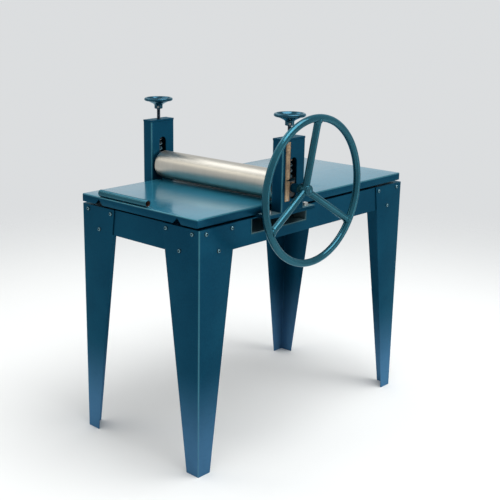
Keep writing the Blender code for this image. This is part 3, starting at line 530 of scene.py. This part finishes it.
def button_head(place, out, radius, steps=24):
    """A dome-headed screw on a thin flange, with a six-sided socket: a turned dome whose innermost
    rings are pulled in to the hexagon's radius a / cos(t) round each side. The flange and all that
    lies within the dome's top take the second finish, a painted shade: a dark ring of painted
    shadow round the head and the dark inside the socket."""
    t = np.linspace(0, TAU, steps, endpoint=False)
    side = (t + TAU / 12) % (TAU / 6) - TAU / 12
    hexagon = radius * 0.42 / np.cos(side)
    # The flange is a thin ring that carries a painted shadow round the head.
    flange = [(radius * 1.26, -0.0006), (radius * 1.24, 0.0002), (radius * 1.02, 0.0003)]
    dome = [
        (radius * (0.50 + 0.50 * np.cos(d)), 0.30 * radius + 0.42 * radius * np.sin(d))
        for d in np.linspace(0, TAU / 4, 5)
    ]
    socket = [
        (hexagon, 0.72 * radius), (hexagon * 0.96, 0.66 * radius),
        (hexagon * 0.96, 0.20 * radius), (0, 0.16 * radius),
    ]
    rings = [(0, -0.0006), *flange, *dome, *socket]
    r, h = (np.stack([v + 0 * t for v in values])[..., None] for values in zip(*rings))
    out = np.array(out, float)
    a = np.cross(out, (0, 0, 1.0)) if abs(out[2]) < 0.5 else np.array([1.0, 0, 0])
    b = np.cross(a, out)
    turn = t[None, :, None]
    points = r * (np.cos(turn) * a + np.sin(turn) * b) + h * out
    rows = np.arange(len(rings) - 1)
    # Painted shade: the flange ring and the socket take the near-black second finish.
    dark = (rows < len(flange)) | (rows >= len(flange) + len(dome))
    return grid(points + np.array(place), mark=dark.astype(int)[:, None])


def leg_screws():
    """Six small screws in each leg: two high and one lower in the middle of both flanges, each
    placed by how far it is from the leg's corner and from its top."""
    places, radius = [(0.0275, 0.014), (0.134, 0.014), (0.079, 0.0715)], 0.0056
    for name, x, y, x_sign, y_sign in stand_corners():
        heads = []
        for along, down in places:
            z = FRAME_TOP - down
            heads.append(button_head((x - x_sign * along, y, z), (0, y_sign, 0), radius))
            heads.append(button_head((x, y - y_sign * along, z), (x_sign, 0, 0), radius))
        piece(f"leg_screws_{name}", heads, [SCREW_PAINT, SHADE_AND_POINTER_BLACK], "stand")


def tray_ring():
    """The tray's outline from above, as points and outward directions: round corners, and straight
    runs with a column at each corner of the notches."""
    (x0, y0), (x1, y1) = BED_LOW[:2], BED_HIGH[:2]
    r, turn = 0.0040, np.linspace(0, TAU / 4, 6)
    shares = np.array([-1, -0.5, 0, 0.5, 1])
    stops = sorted(round(float(y), 6) for mid, half in runner_notches() for y in mid + half * shares)
    along = np.linspace(x0 + r, x1 - r, 26)[1:-1]
    quarters = (
        ((x1, y1), (0, 1), [(x, y1) for x in along[::-1]]),
        ((x0, y1), (-1, 0), [(x0, y) for y in stops[::-1]]),
        ((x0, y0), (0, -1), [(x, y0) for x in along]),
        ((x1, y0), (1, 0), [(x1, y) for y in stops]),
    )
    points, out = [], []
    for quarter, ((cx, cy), way, run) in enumerate(quarters):
        sx, sy = np.sign(cx - (x0 + x1) / 2), np.sign(cy - (y0 + y1) / 2)
        ways = [(math.cos(t), math.sin(t)) for t in turn + quarter * TAU / 4]
        points += [(cx - sx * r + r * a, cy - sy * r + r * b) for a, b in ways] + run
        out += ways + [way] * len(run)
    return np.array(points), np.array(out)


def runner_notches():
    """Each notch over a runner: its middle, and its height above the skirt's foot, which is also half
    its width there, because its sides rise at 45 degrees."""
    made = []
    for side in SIDES:
        low, high = corners(f"runner_{side}")
        inner_apex = high[2] - SHEET * math.sqrt(2)
        made.append(((low[1] + high[1]) / 2, inner_apex - BED_LOW[2]))
    return made


def bed_tray():
    """The tray: its section runs over the fold from the flat top down the skirt, round the skirt's
    foot, and up inside to the underside. The foot rises to a point in each notch."""
    ring, out = tray_ring()
    fold, lip, ease, inner_fold = 0.0035, 0.0007, 0.0004, 0.0008
    foot = np.full(len(ring), BED_LOW[2])
    on_end = np.abs(out[:, 0]) > 0.99
    for centre, rise in runner_notches():
        lift = np.clip(rise - np.abs(ring[:, 1] - centre), 0, None)
        foot = np.where(on_end, np.maximum(foot, BED_LOW[2] + lift), foot)
    turn = np.linspace(0, TAU / 4, 6)
    rows = [(fold * (1 - math.sin(t)), BED_TOP - fold * (1 - math.cos(t))) for t in turn]
    folded = len(rows) - 1
    rows += [(0.0, foot + lip), (ease, foot), (SHEET - ease, foot), (SHEET, foot + lip)]
    under = BED_TOP - SHEET
    rows += [(SHEET, under - inner_fold), (SHEET + inner_fold, under)]
    points = np.array([np.column_stack([ring - out * inset, z + 0 * foot]) for inset, z in rows])
    # Painted highlight: the fold's rows take the paler bend paint, a light line along the tray's top
    # edge.
    finish = np.where(np.arange(len(rows) - 1) < folded, 2, 0)[:, None]
    sheet = grid(points, caps=(1, 0), mark=finish)
    finishes = [PAINT, BED_PAINT, BEND_HIGHLIGHT_PAINT]
    piece("bed_tray_sheet", [sheet], finishes, "bed", ["bed_tray"], 30)


def runners():
    """Angle-iron runners: an upside-down V with soft bend and edges."""
    for side in SIDES:
        name = f"runner_{side}"
        low, high = corners(name)
        y, apex, foot = (low[1] + high[1]) / 2, high[2], low[2]
        half = (high[1] - low[1]) / 2
        s = SHEET * math.sqrt(0.5)
        outline = [
            (y, apex), (y + half, apex - half), (y + half - s, foot),
            (y, apex - 2 * s), (y - half + s, foot), (y - half, apex - half),
        ]
        bend, edge, inner_bend = 0.0015, 0.0006, 0.001
        section = rounded(outline, [bend, edge, edge, inner_bend, edge, edge])
        at_ends = [np.column_stack([np.full(len(section), x), section]) for x in (low[0], high[0])]
        angle = grid(np.array(at_ends), caps=(0, 0))
        piece(f"{name}_angle", [angle], [PAINT], "bed", [name])


def grab_tube():
    """The grab tube: a pipe with soft ends, painted outside and bare inside."""
    low, high = corners("grab_tube")
    centre = middle("grab_tube") * (1, 0, 1)
    outer, lip = (high[0] - low[0]) / 2, 0.0007
    inner = outer - 0.0020
    skin = pipe(inner, outer, low[1], high[1], lip)
    patches = [turned(skin, centre, steps=48), turned([skin[-1], skin[0]], centre, steps=48, mark=1)]
    piece("grab_tube_pipe", patches, [WHEEL_PAINT, BORE], "bed", ["grab_tube"])


def slot_loop(half, low, high, sides, top):
    """A round-ended slot's outline in (x, z), going up the right side, over the top, down the left
    and round the foot, with a set number of points on each run."""
    up = np.linspace(low + half, high - half, sides, endpoint=False)
    turn = np.linspace(0, TAU / 2, top, endpoint=False)
    right = np.column_stack([np.full(sides, half), up])
    over = np.column_stack([half * np.cos(turn), high - half + half * np.sin(turn)])
    left = np.column_stack([np.full(sides, -half), up[::-1] + (up[1] - up[0])])
    below = np.column_stack([-half * np.cos(turn), low + half - half * np.sin(turn)])
    return np.concatenate([right, over, left, below])


def wall_loop(half, low, high, sides, top):
    """A rectangle's outline with its points on the same runs as the slot's."""
    up = np.linspace(low, high, sides, endpoint=False)
    across = np.linspace(half, -half, top, endpoint=False)
    right = np.column_stack([np.full(sides, half), up])
    over = np.column_stack([across, np.full(top, high)])
    left = np.column_stack([np.full(sides, -half), up[::-1] + (up[1] - up[0])])
    below = np.column_stack([-across, np.full(top, low)])
    return np.concatenate([right, over, left, below])


def posts():
    """Box-section posts. Each broad wall is a ring of rows from the slot's edge out to the wall's
    edge, and the corners and narrow walls are arcs and straights carried up the post."""
    sides, top, arc_points, wall, ease = 18, 16, 5, 0.004, 0.0005
    slot_half, below_axis, below_top = 0.015, 0.0335, 0.0517
    for side in SIDES:
        low, high = corners(f"post_{side}")
        x, y = (low[0] + high[0]) / 2, (low[1] + high[1]) / 2
        half_x, half_y = (high[0] - low[0]) / 2, (high[1] - low[1]) / 2
        foot, head = AXIS_Z - below_axis, high[2] - below_top
        slot = {e: slot_loop(slot_half + e, foot - e, head + e, sides, top) for e in (0, ease)}
        patches, rims = [], []
        for depth, corner in ((0, 0.0030), (wall, 0.0008)):
            flat_x, flat_y = half_x - depth - corner, half_y - depth - corner
            rect = wall_loop(flat_x, low[2], high[2], sides, top)
            share = np.linspace(0, 1, 5)[:, None, None]
            face = slot[ease] + (rect - slot[ease]) * share
            for turn in (-1, 1):
                plane = np.full(face.shape[:2], y + turn * (half_y - depth))
                patches.append(grid(np.stack([face[..., 0] + x, plane, face[..., 1]], axis=-1)))
            arc = np.linspace(0, TAU / 4, arc_points)
            bend_x, bend_y = corner * np.sin(arc), corner * np.cos(arc)
            run_x = np.concatenate([flat_x + bend_x, flat_x + bend_x[::-1]])
            run_y = np.concatenate([flat_y + bend_y, -flat_y - bend_y[::-1]])
            # Painted highlight: on the outer skin the corner bends take the paler bend paint, as light
            # lines up the post's corners.
            over_bends = np.ones(len(run_x) - 1, int) * (depth == 0)
            over_bends[arc_points - 1] = 0
            heights = np.append(rect[:sides, 1], high[2])
            for turn in (-1, 1):
                run = np.column_stack([x + turn * run_x, y + run_y])
                strip = [np.column_stack([run, np.full(len(run), z)]) for z in heights]
                patches.append(grid(np.array(strip), cols=False, mark=over_bends))
            over = np.append(rect[sides:sides + top, 0], -flat_x)
            rims.append(np.concatenate([
                np.column_stack([x + over, np.full(top + 1, y + half_y - depth)]),
                np.column_stack([x - run_x, y + run_y])[1:],
                np.column_stack([x - over, np.full(top + 1, y - half_y + depth)])[1:],
                np.column_stack([x + run_x, y + run_y])[::-1][1:-1],
            ]))
        for z in (low[2], high[2]):
            level = [np.column_stack([rim, np.full(len(rim), z)]) for rim in rims]
            patches.append(grid(np.array(level)))
        for turn in (-1, 1):
            rows = []
            for e, depth in ((ease, 0), (0, ease), (0, wall - ease), (ease, wall)):
                plane = np.full(len(slot[e]), y + turn * (half_y - depth))
                rows.append(np.column_stack([slot[e][:, 0] + x, plane, slot[e][:, 1]]))
            patches.append(grid(np.array(rows)))
        piece(f"post_{side}_tube", patches, [PAINT, BEND_HIGHLIGHT_PAINT], "stand", [f"post_{side}"])


def foot_bolt(place):
    """A hexagon bolt head on its washer: the head's radius is a / cos(t) round each side, and its
    upper edge falls away where that passes the chamfer's circle."""
    flat, washer, seat, top, ease = 0.0082, 0.011, 0.0015, 0.0080, 0.0003
    t = np.linspace(0, TAU, 48, endpoint=False)
    side = (t + TAU / 12) % (TAU / 6) - TAU / 12
    hexagon = flat / np.cos(side)
    fall = top - (hexagon - flat * 0.98) * 0.6
    rows = [
        (0, 0), (washer, 0), (washer, seat - ease), (washer - ease, seat), (hexagon, seat),
        (hexagon, fall), (flat * 0.96, top), (flat * 0.55, top), (flat * 0.5, top - ease),
        (0, top - ease),
    ]
    points = [np.column_stack([r * np.cos(t), r * np.sin(t), h + 0 * t]) for r, h in rows]
    return grid(np.array(points) + np.array(place))


def foot_plates():
    """The plates under the posts, with their bolts."""
    length, radius, tip = 0.0165, 0.005, 0.0005
    for side in SIDES:
        name = f"foot_plate_{side}"
        low, high = corners(name)
        # Painted reflection: the plate's top takes the paler paint, standing in for the bright sky that
        # it mirrors.
        plate = slab(low, high, 0.0025, top=1)
        piece(f"{name}_steel", [plate], [PAINT, PALE_LIT_PAINT], "stand", [name])
        for end in ENDS:
            name = f"foot_bolt_{end}_{side}"
            x, y, _ = middle(name)
            z = high[2] + 0.0003
            foot = z - length
            shank = [(0, foot), (radius - tip, foot), (radius, foot + tip), (radius, z), (0, z)]
            patches = [foot_bolt((x, y, z)), turned(shank, (x, y, 0), "Z", 24)]
            piece(f"{name}_hex", patches, [ZINC], "stand", [name], 25)


def beam_welds():
    """The weld beads that join the cross beam's ends to the windows in the long rails: a rope of
    small puddles whose radius swells and shrinks along the way, down one side, along the foot and up."""
    radius, swell, puddle, step = 0.0013, 0.0002, 0.0044, 0.0011
    low, high = corners("cross_beam")
    path = np.array([(low[0], high[2]), (low[0], low[2]), (high[0], low[2]), (high[0], high[2])])
    run = np.concatenate([[0], np.cumsum(np.linalg.norm(np.diff(path, axis=0), axis=1))])
    along = np.arange(0.001, run[-1] - 0.001, step)
    x, z = (np.interp(along, run, values) for values in path.T)
    for side, sign in SIDES.items():
        y = corners(f"side_rail_{side}")[(1 + sign) // 2][1]
        route = np.column_stack([x, np.full(len(x), y), z])
        bead = swept(route, radius + swell * np.sin(along * TAU / puddle), (0, 1.0, 0), 10)
        # Painted highlight: the beads take the paler wheel paint, so they draw light lines round the
        # windows' edges.
        piece(f"beam_weld_{side}", [bead], [WHEEL_PAINT], "stand", sharp=70)


def roller():
    """The roller tube with eased ends, a disc in each, the shaft, drilled to a centre at both ends,
    and the spacer."""
    centre = (AXIS_X, 0, AXIS_Z)
    wall, spacer_wall = 0.006, 0.0012
    tube_ease, disc_ease, disc_lip, spacer_ease = 0.0008, 0.0006, 0.0007, 0.0003
    tube = pipe(reach("roller_tube")[0] - wall, *reach("roller_tube"), tube_ease)
    parts = [("roller_tube", "ground", tube, 160, True, ROLLER_STEEL, "satin_steel")]
    for side in SIDES:
        name = f"roller_end_{side}"
        disc = drum(SHAFT_FIT, *reach(name), disc_ease, disc_lip)
        parts.append((name, "disc", disc, 96, True, ROLLER_STEEL, "satin_steel"))
    r, y0, y1 = reach("roller_shaft")
    ease, hole, depth = 0.001, 0.003, 0.0024
    half = [(0, depth), (0.0004, depth), (hole, 0), (r - ease, 0), (r, ease)]
    shaft = [(a, y0 + b) for a, b in half] + [(a, y1 - b) for a, b in half[::-1]]
    parts.append(("roller_shaft", "turned", shaft, 64, False, SHAFT_STEEL, "plain_steel"))
    r, y0, y1 = reach("spacer_collar")
    collar = drum(r - spacer_wall, r, y0, y1, spacer_ease)
    parts.append(("spacer_collar", "sleeve", collar, 64, True, PAINT, "blue_paint"))
    for name, word, section, steps, closed, finish, slot in parts:
        patch = turned(section, centre, steps=steps, closed=closed)
        piece(f"{name}_{word}", [patch], [finish], "roller_set", [name])


def drive_handwheel():
    """The large handwheel: a tube bent into a ring, three spokes of the same tube whose ends flare
    into their welds, and a turned hub with a cap in its face. A spoke's radius is
    r + f exp(-a/l) + g exp(-b/m), where a and b are the ways to the hub's and the rim's skin."""
    tube, hub_radius, hub_length, spoke, first_spoke = 0.011, 0.016, 0.034, 0.0107, 87
    hub_flare, hub_fade, rim_flare, rim_fade = 0.0003, 0.004, 0.0028, 0.003
    name = "drive_handwheel"
    low, high = corners(name)
    rim_y, rim_radius = low[1] + tube, (high[0] - low[0]) / 2 - tube
    centre = np.array([AXIS_X, 0, AXIS_Z])
    turn = np.linspace(0, TAU, 24, endpoint=False)
    ring = np.column_stack([rim_radius + tube * np.cos(turn), rim_y + tube * np.sin(turn)])
    patches = [turned(ring, centre, steps=180, closed=True)]
    y0, y1 = high[1] - hub_length, high[1]
    start = np.array([AXIS_X, y0 + tube + 0.0015, AXIS_Z])
    at_hub, at_rim = np.linspace(0, 0.16, 14), np.linspace(0.86, 1, 14)
    share = np.concatenate([at_hub, np.linspace(0.16, 0.86, 8)[1:-1], at_rim])
    for i in range(3):
        a = math.radians(first_spoke + 120 * i)
        end = np.array([AXIS_X + rim_radius * math.cos(a), rim_y, AXIS_Z + rim_radius * math.sin(a)])
        length = np.linalg.norm(end - start)
        swell = hub_flare * np.exp(-np.clip(share * length - hub_radius, 0, None) / hub_fade)
        swell += rim_flare * np.exp(-np.clip((1 - share) * length - tube, 0, None) / rim_fade)
        patches.append(swept(start + (end - start) * share[:, None], spoke + swell, (0, 1.0, 0), 32))
    ease, cap, sunk = 0.0012, 0.0108, 0.0006
    face = y0 - 0.0035
    hub = [
        (0, face + sunk), (cap - 0.0008, face + sunk), (cap, face), (hub_radius - ease, face),
        (hub_radius, face + ease), (hub_radius, y1 - ease), (hub_radius - ease, y1), (SHAFT_FIT, y1),
    ]
    patches.append(turned(hub, centre, steps=64))
    piece(f"{name}_welded", patches, [WHEEL_PAINT], "roller_set", [name], 50)
    key = button_head((AXIS_X, y1 - 0.009, AXIS_Z + hub_radius), (0, 0, 1), 0.0035, 18)
    piece("handwheel_set_screw", [key], [SCREW_STEEL, SHADE_AND_POINTER_BLACK], "roller_set")


def small_handwheels():
    """The dished handwheels on the pressure screws: hub, web and round rim turned in one smooth
    section, with a set screw in the hub."""
    facing, key_radius = np.array([-0.745, -0.667, 0]), 0.0034
    tube, rim_height, bore, ease = 0.005, 0.031, 0.0063, 0.0006
    lower = [
        (bore, 0), (0.0125, 0), (0.0137, 0.0012), (0.0137, 0.0110),
        (0.0150, 0.0140), (0.0200, 0.0172), (0.0270, 0.0205), (0.0335, 0.0240),
    ]
    upper = [
        (0.0340, 0.0300), (0.0270, 0.0262), (0.0190, 0.0222), (0.0150, 0.0205),
        (0.0110, 0.0200), (0.0105, 0.0195), (bore, 0.0195),
    ]
    turn = np.linspace(math.radians(-128), math.radians(150), 20)
    for side in SIDES:
        name, body = f"screw_handwheel_{side}", f"screw_{side}"
        low, high = corners(name)
        x, y, foot = (low[0] + high[0]) / 2, (low[1] + high[1]) / 2, low[2]
        outer = (high[0] - low[0]) / 2
        ring, level = outer - tube, foot + rim_height
        rim = [(ring + tube * math.cos(t), level + tube * math.sin(t)) for t in turn]
        section = [(r, foot + h) for r, h in lower] + rim + [(r, foot + h) for r, h in upper]
        section = rounded(section, [0, *[ease] * (len(section) - 2), 0], 3)
        dish = turned(section, (x, y, 0), "Z", 96, closed=True)
        piece(f"{name}_dished", [dish], [KNOB_PAINT], body, [name], 50)
        key = button_head(np.array([x, y, foot + 0.0060]) + facing * 0.0136, facing, key_radius, 18)
        piece(f"{name}_set_screw", [key], [ZINC, SHADE_AND_POINTER_BLACK], body)


def pressure_screws():
    """Threaded rods: the radius falls from crest to root and back once a pitch, and the crest climbs
    one pitch a turn, r = R - d |2 frac(z/p - t/2pi) - 1|. Both ends run out plain."""
    pitch, depth, foot_plain, top_plain, steps = 0.00175, 0.0010, 0.012, 0.0190, 24
    t = np.linspace(0, TAU, steps, endpoint=False)
    for side in SIDES:
        name = f"pressure_screw_{side}"
        low, high = corners(name)
        x, y, radius = (low[0] + high[0]) / 2, (low[1] + high[1]) / 2, (high[0] - low[0]) / 2
        z = np.arange(low[2] + foot_plain, high[2] - top_plain, pitch / 6)
        phase = (z[:, None] / pitch - t[None] / TAU) % 1
        fade = np.clip(np.minimum(z - z[0], z[-1] - z) / (2 * pitch), 0, 1)[:, None]
        r = radius - depth * np.abs(2 * phase - 1) * fade
        thread = np.stack([r * np.cos(t), r * np.sin(t), np.broadcast_to(z[:, None], r.shape)], axis=-1)
        foot = [(0, low[2]), (radius - 0.001, low[2]), (radius, low[2] + 0.001)]
        head = [(radius, high[2] - 0.0008), (radius - 0.0008, high[2]), (0, high[2])]
        ends = [turned(end, (0, 0, 0), "Z", steps)["points"] for end in (foot, head)]
        whole = np.concatenate([ends[0], thread, ends[1]]) + np.array([x, y, 0])
        piece(f"{name}_thread", [grid(whole)], [SCREW_STEEL], f"screw_{side}", [name], 60)


def springs():
    """Compression springs: a helix of eight turns, whose first and last turn flatten against the
    block and the cap."""
    wire, radius, turns = 0.0017, 0.0105, 8
    share = np.linspace(0, 1, turns * 32 + 1)
    t = TAU * turns * share
    climb = np.clip((share * turns - 0.75) / (turns - 1.5), 0, 1)
    for side in SIDES:
        name = f"spring_{side}"
        low, high = corners(name)
        x, y, length = (low[0] + high[0]) / 2, (low[1] + high[1]) / 2, high[2] - low[2]
        z = low[2] + wire + (length - 2 * wire) * (climb * 0.94 + share * 0.06)
        path = np.column_stack([x + radius * np.cos(t), y + radius * np.sin(t), z])
        coil = swept(path, wire, (0, 0, 1.0), 12)
        made = piece(f"{name}_coil", [coil], [SPRING], "stand", [name], 60)
        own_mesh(made)


def height_ruler():
    """The ruler: a thin tan plate with a line each millimetre, longer at five and ten, figures each
    centimetre and a rivet at both ends."""
    low, high = corners("height_ruler")
    face, mid_x = low[1], (low[0] + high[0]) / 2
    plate = slab(low, high, 0.0012, 0.00015)
    piece("height_ruler_plate", [plate], [TAN], "stand", ["height_ruler"])
    zero, skin, margin, half_line = low[2] + 0.008, 0.00012, 0.0004, 0.00016
    figure_size, aside = 0.0062, 0.0008
    marks = np.arange(0, 161)
    length = np.where(marks % 10 == 0, 0.0062, np.where(marks % 5 == 0, 0.0046, 0.0030))
    y, z = face - np.array([0, skin]), zero + marks[:, None] * 0.001 + np.array([-half_line, half_line])
    lines = []
    for edge, way in ((low[0] + margin, 1), (high[0] - margin, -0.62)):
        x = np.stack([edge + 0 * length, edge + way * length], axis=-1)
        boxes = np.broadcast_arrays(x[:, None, [0, 1, 1, 0]], y[:, None], z[:, None, [0, 0, 1, 1]])
        lines += [grid(box, caps=(0, 0)) for box in np.stack(boxes, axis=-1)]
    piece("height_ruler_lines", lines, [BLACK], "stand")
    shape = bmesh.new()
    for number in range(1, 16):
        curve = bpy.data.curves.new(f"figure_{number}", "FONT")
        curve.body, curve.size, curve.extrude = str(number), figure_size, skin / 2
        curve.align_x, curve.align_y = "CENTER", "CENTER"
        text = placed(f"figure_{number}", curve)
        bpy.context.view_layer.update()
        filled = text.evaluated_get(bpy.context.evaluated_depsgraph_get())
        mesh = bpy.data.meshes.new_from_object(filled)
        bpy.data.objects.remove(text)
        flat = np.empty(len(mesh.vertices) * 3)
        mesh.vertices.foreach_get("co", flat)
        a, b, c = flat.reshape(-1, 3).T
        figure = np.column_stack([mid_x + aside + a, face - skin / 2 - c, zero + number * 0.010 + b])
        mesh.vertices.foreach_set("co", figure.ravel())
        shape.from_mesh(mesh)
        bpy.data.meshes.remove(mesh)
    bmesh.ops.remove_doubles(shape, verts=shape.verts, dist=1e-7)
    bmesh.ops.recalc_face_normals(shape, faces=shape.faces)
    whole = bpy.data.meshes.new("height_ruler_figures")
    shape.to_mesh(whole)
    shape.free()
    whole.materials.append(BLACK)
    made = placed("height_ruler_figures", whole)
    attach(made, "stand")
    dome = [(0, 0), (0.0024, 0), (0.0022, 0.0006), (0.0014, 0.0011), (0, 0.0013)]
    dome = [(r, face - h) for r, h in dome]
    rivets = [turned(dome, (mid_x, 0, z), "Y", 24) for z in (low[2] + 0.0045, high[2] - 0.0045)]
    piece("height_ruler_rivets", rivets, [ZINC], "stand")


def track_gear():
    """The V-rimmed track wheels and the backing roller, turned smooth."""
    bore, web, ease, point = 0.0043, 0.0012, 0.0004, 0.0008
    for end in ENDS:
        for side in SIDES:
            name = f"track_wheel_{end}_{side}"
            radius, y0, y1 = reach(name)
            half = (y1 - y0) / 2
            edge = radius - half
            flank = [
                (bore, half), (edge * 0.55, half), (edge * 0.6, half - web),
                (edge * 0.85, half - web), (edge * 0.9, half), (edge, half),
            ]
            section = [(r, -h) for r, h in flank] + [(radius, 0)] + flank[::-1]
            section = rounded(section, [0, *[ease] * 5, point, *[ease] * 5, 0])
            patch = turned(section, middle(name), steps=64, closed=True)
            piece(f"{name}_turned", [patch], [SHAFT_STEEL], name, [name])
    name, axle_bore, end_ease = "backing_roller", 0.0063, 0.001
    section = drum(axle_bore, *reach(name), end_ease)
    patch = turned(section, middle(name) * (1, 0, 1), steps=96, closed=True)
    piece(f"{name}_turned", [patch], [SHAFT_STEEL], name, [name])


def plain_nodes():
    """The frame's own nodes that stay: each gets its finish, and eased edges."""
    # The cross beam takes the paler paint as painted light against the shade inside the rail windows;
    # the pointer takes the near-black.
    finishes = {
        "cross_beam": PALE_LIT_PAINT, "height_pointer": SHADE_AND_POINTER_BLACK, "bearing_block": BLOCK_STEEL,
        "bush": BRONZE, "wheel_pin": ZINC, "backing_axle": SHAFT_STEEL,
    }
    for name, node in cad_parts.items():
        if node.hide_render:
            continue
        finish = next((f for start, f in finishes.items() if name.startswith(start)), PAINT)
        node.data.materials.clear()
        node.data.materials.append(finish)
        node.modifiers.new("weld", "WELD").merge_threshold = 0.00002
        ease = node.modifiers.new("ease", "BEVEL")
        ease.width, ease.segments, ease.limit_method = 0.0006, 2, "ANGLE"
        ease.angle_limit = math.radians(35)
        ease.harden_normals = True


def floor():
    """A pale floor that fades into the even white around it."""
    radius, steps = 4.0, 96
    turn = np.linspace(0, TAU, steps, endpoint=False)
    mesh = bpy.data.meshes.new("floor")
    disc = np.column_stack([radius * np.cos(turn), radius * np.sin(turn), 0 * turn])
    mesh.from_pydata(disc, [], [list(range(steps))])
    made = placed("floor", mesh)
    pale = (0.84, 0.84, 0.83, 1)
    finish = Finish("floor_paint", Base_Color=pale, Roughness=0.9, Specular_IOR_Level=0.1)
    away = finish.node("ShaderNodeVectorMath", {"operation": "LENGTH"}, {0: finish.at()}, output=1)
    finish.feed("Alpha", 1 - away.between(1.3, 3.8))
    mesh.materials.append(finish.made)


def studio():
    """An even pale sky and four soft lamps: one high behind the roller, a small warm one beside it,
    a low one in front at the right, which lights the near side, and a wide one overhead. Each is
    given by its place, its width, how bright it looks and its colour. The camera doesn't see them."""
    world = bpy.data.worlds.new("sky")
    world.use_nodes = True
    bpy.context.scene.world = world
    sky = world.node_tree.nodes["Background"]
    sky.inputs["Color"].default_value = (0.965, 0.985, 1.0, 1)
    sky.inputs["Strength"].default_value = 0.74
    for name, place, width, bright, colour in (
        ("behind", (-0.15, 1.6, 2.8), 1.3, 2.2, (1.0, 1.0, 1.0)),
        ("warm", (-1.5, 1.6, 2.2), 0.7, 2.2, (1.0, 0.93, 0.80)),
        ("low", (1.1, -2.4, 0.62), 1.1, 1.8, (1.0, 0.985, 0.95)),
        ("overhead", (0.2, -0.9, 3.3), 2.0, 6.0, (0.97, 0.99, 1.0)),
    ):
        lamp = bpy.data.lights.new(name, "AREA")
        lamp.size, lamp.energy, lamp.color = width, bright * math.pi * width ** 2, colour
        made = placed(name, lamp)
        made.location = place
        made.visible_camera = False
        aim = Vector((0, 0, 0.7)) - Vector(place)
        made.rotation_euler = aim.to_track_quat("-Z", "Y").to_euler()


def camera():
    """The camera, level with a standing person's chest and turned to the stand's near corner."""
    lens = bpy.data.cameras.new("camera")
    lens.lens, lens.sensor_width = 68.817, 36
    lens.shift_x, lens.shift_y = 0.12172, 0.0033
    yaw, pitch, roll = (math.radians(v) for v in (44.86, 15.5331, 0.079))
    level = math.cos(pitch)
    forward = Vector((math.sin(yaw) * level, math.cos(yaw) * level, -math.sin(pitch)))
    made = placed("camera", lens)
    made.location = (-2.3247, -2.0226, 1.4122)
    made.rotation_mode = "QUATERNION"
    made.rotation_quaternion = forward.to_track_quat("-Z", "Y") @ Quaternion((0, 0, 1), roll)
    bpy.context.scene.camera = made


camera()
floor()
studio()
legs()
leg_screws()
bed_tray()
runners()
grab_tube()
posts()
foot_plates()
beam_welds()
roller()
drive_handwheel()
small_handwheels()
pressure_screws()
springs()
height_ruler()
track_gear()
plain_nodes()

bpy.context.scene.view_settings.view_transform = "Standard"
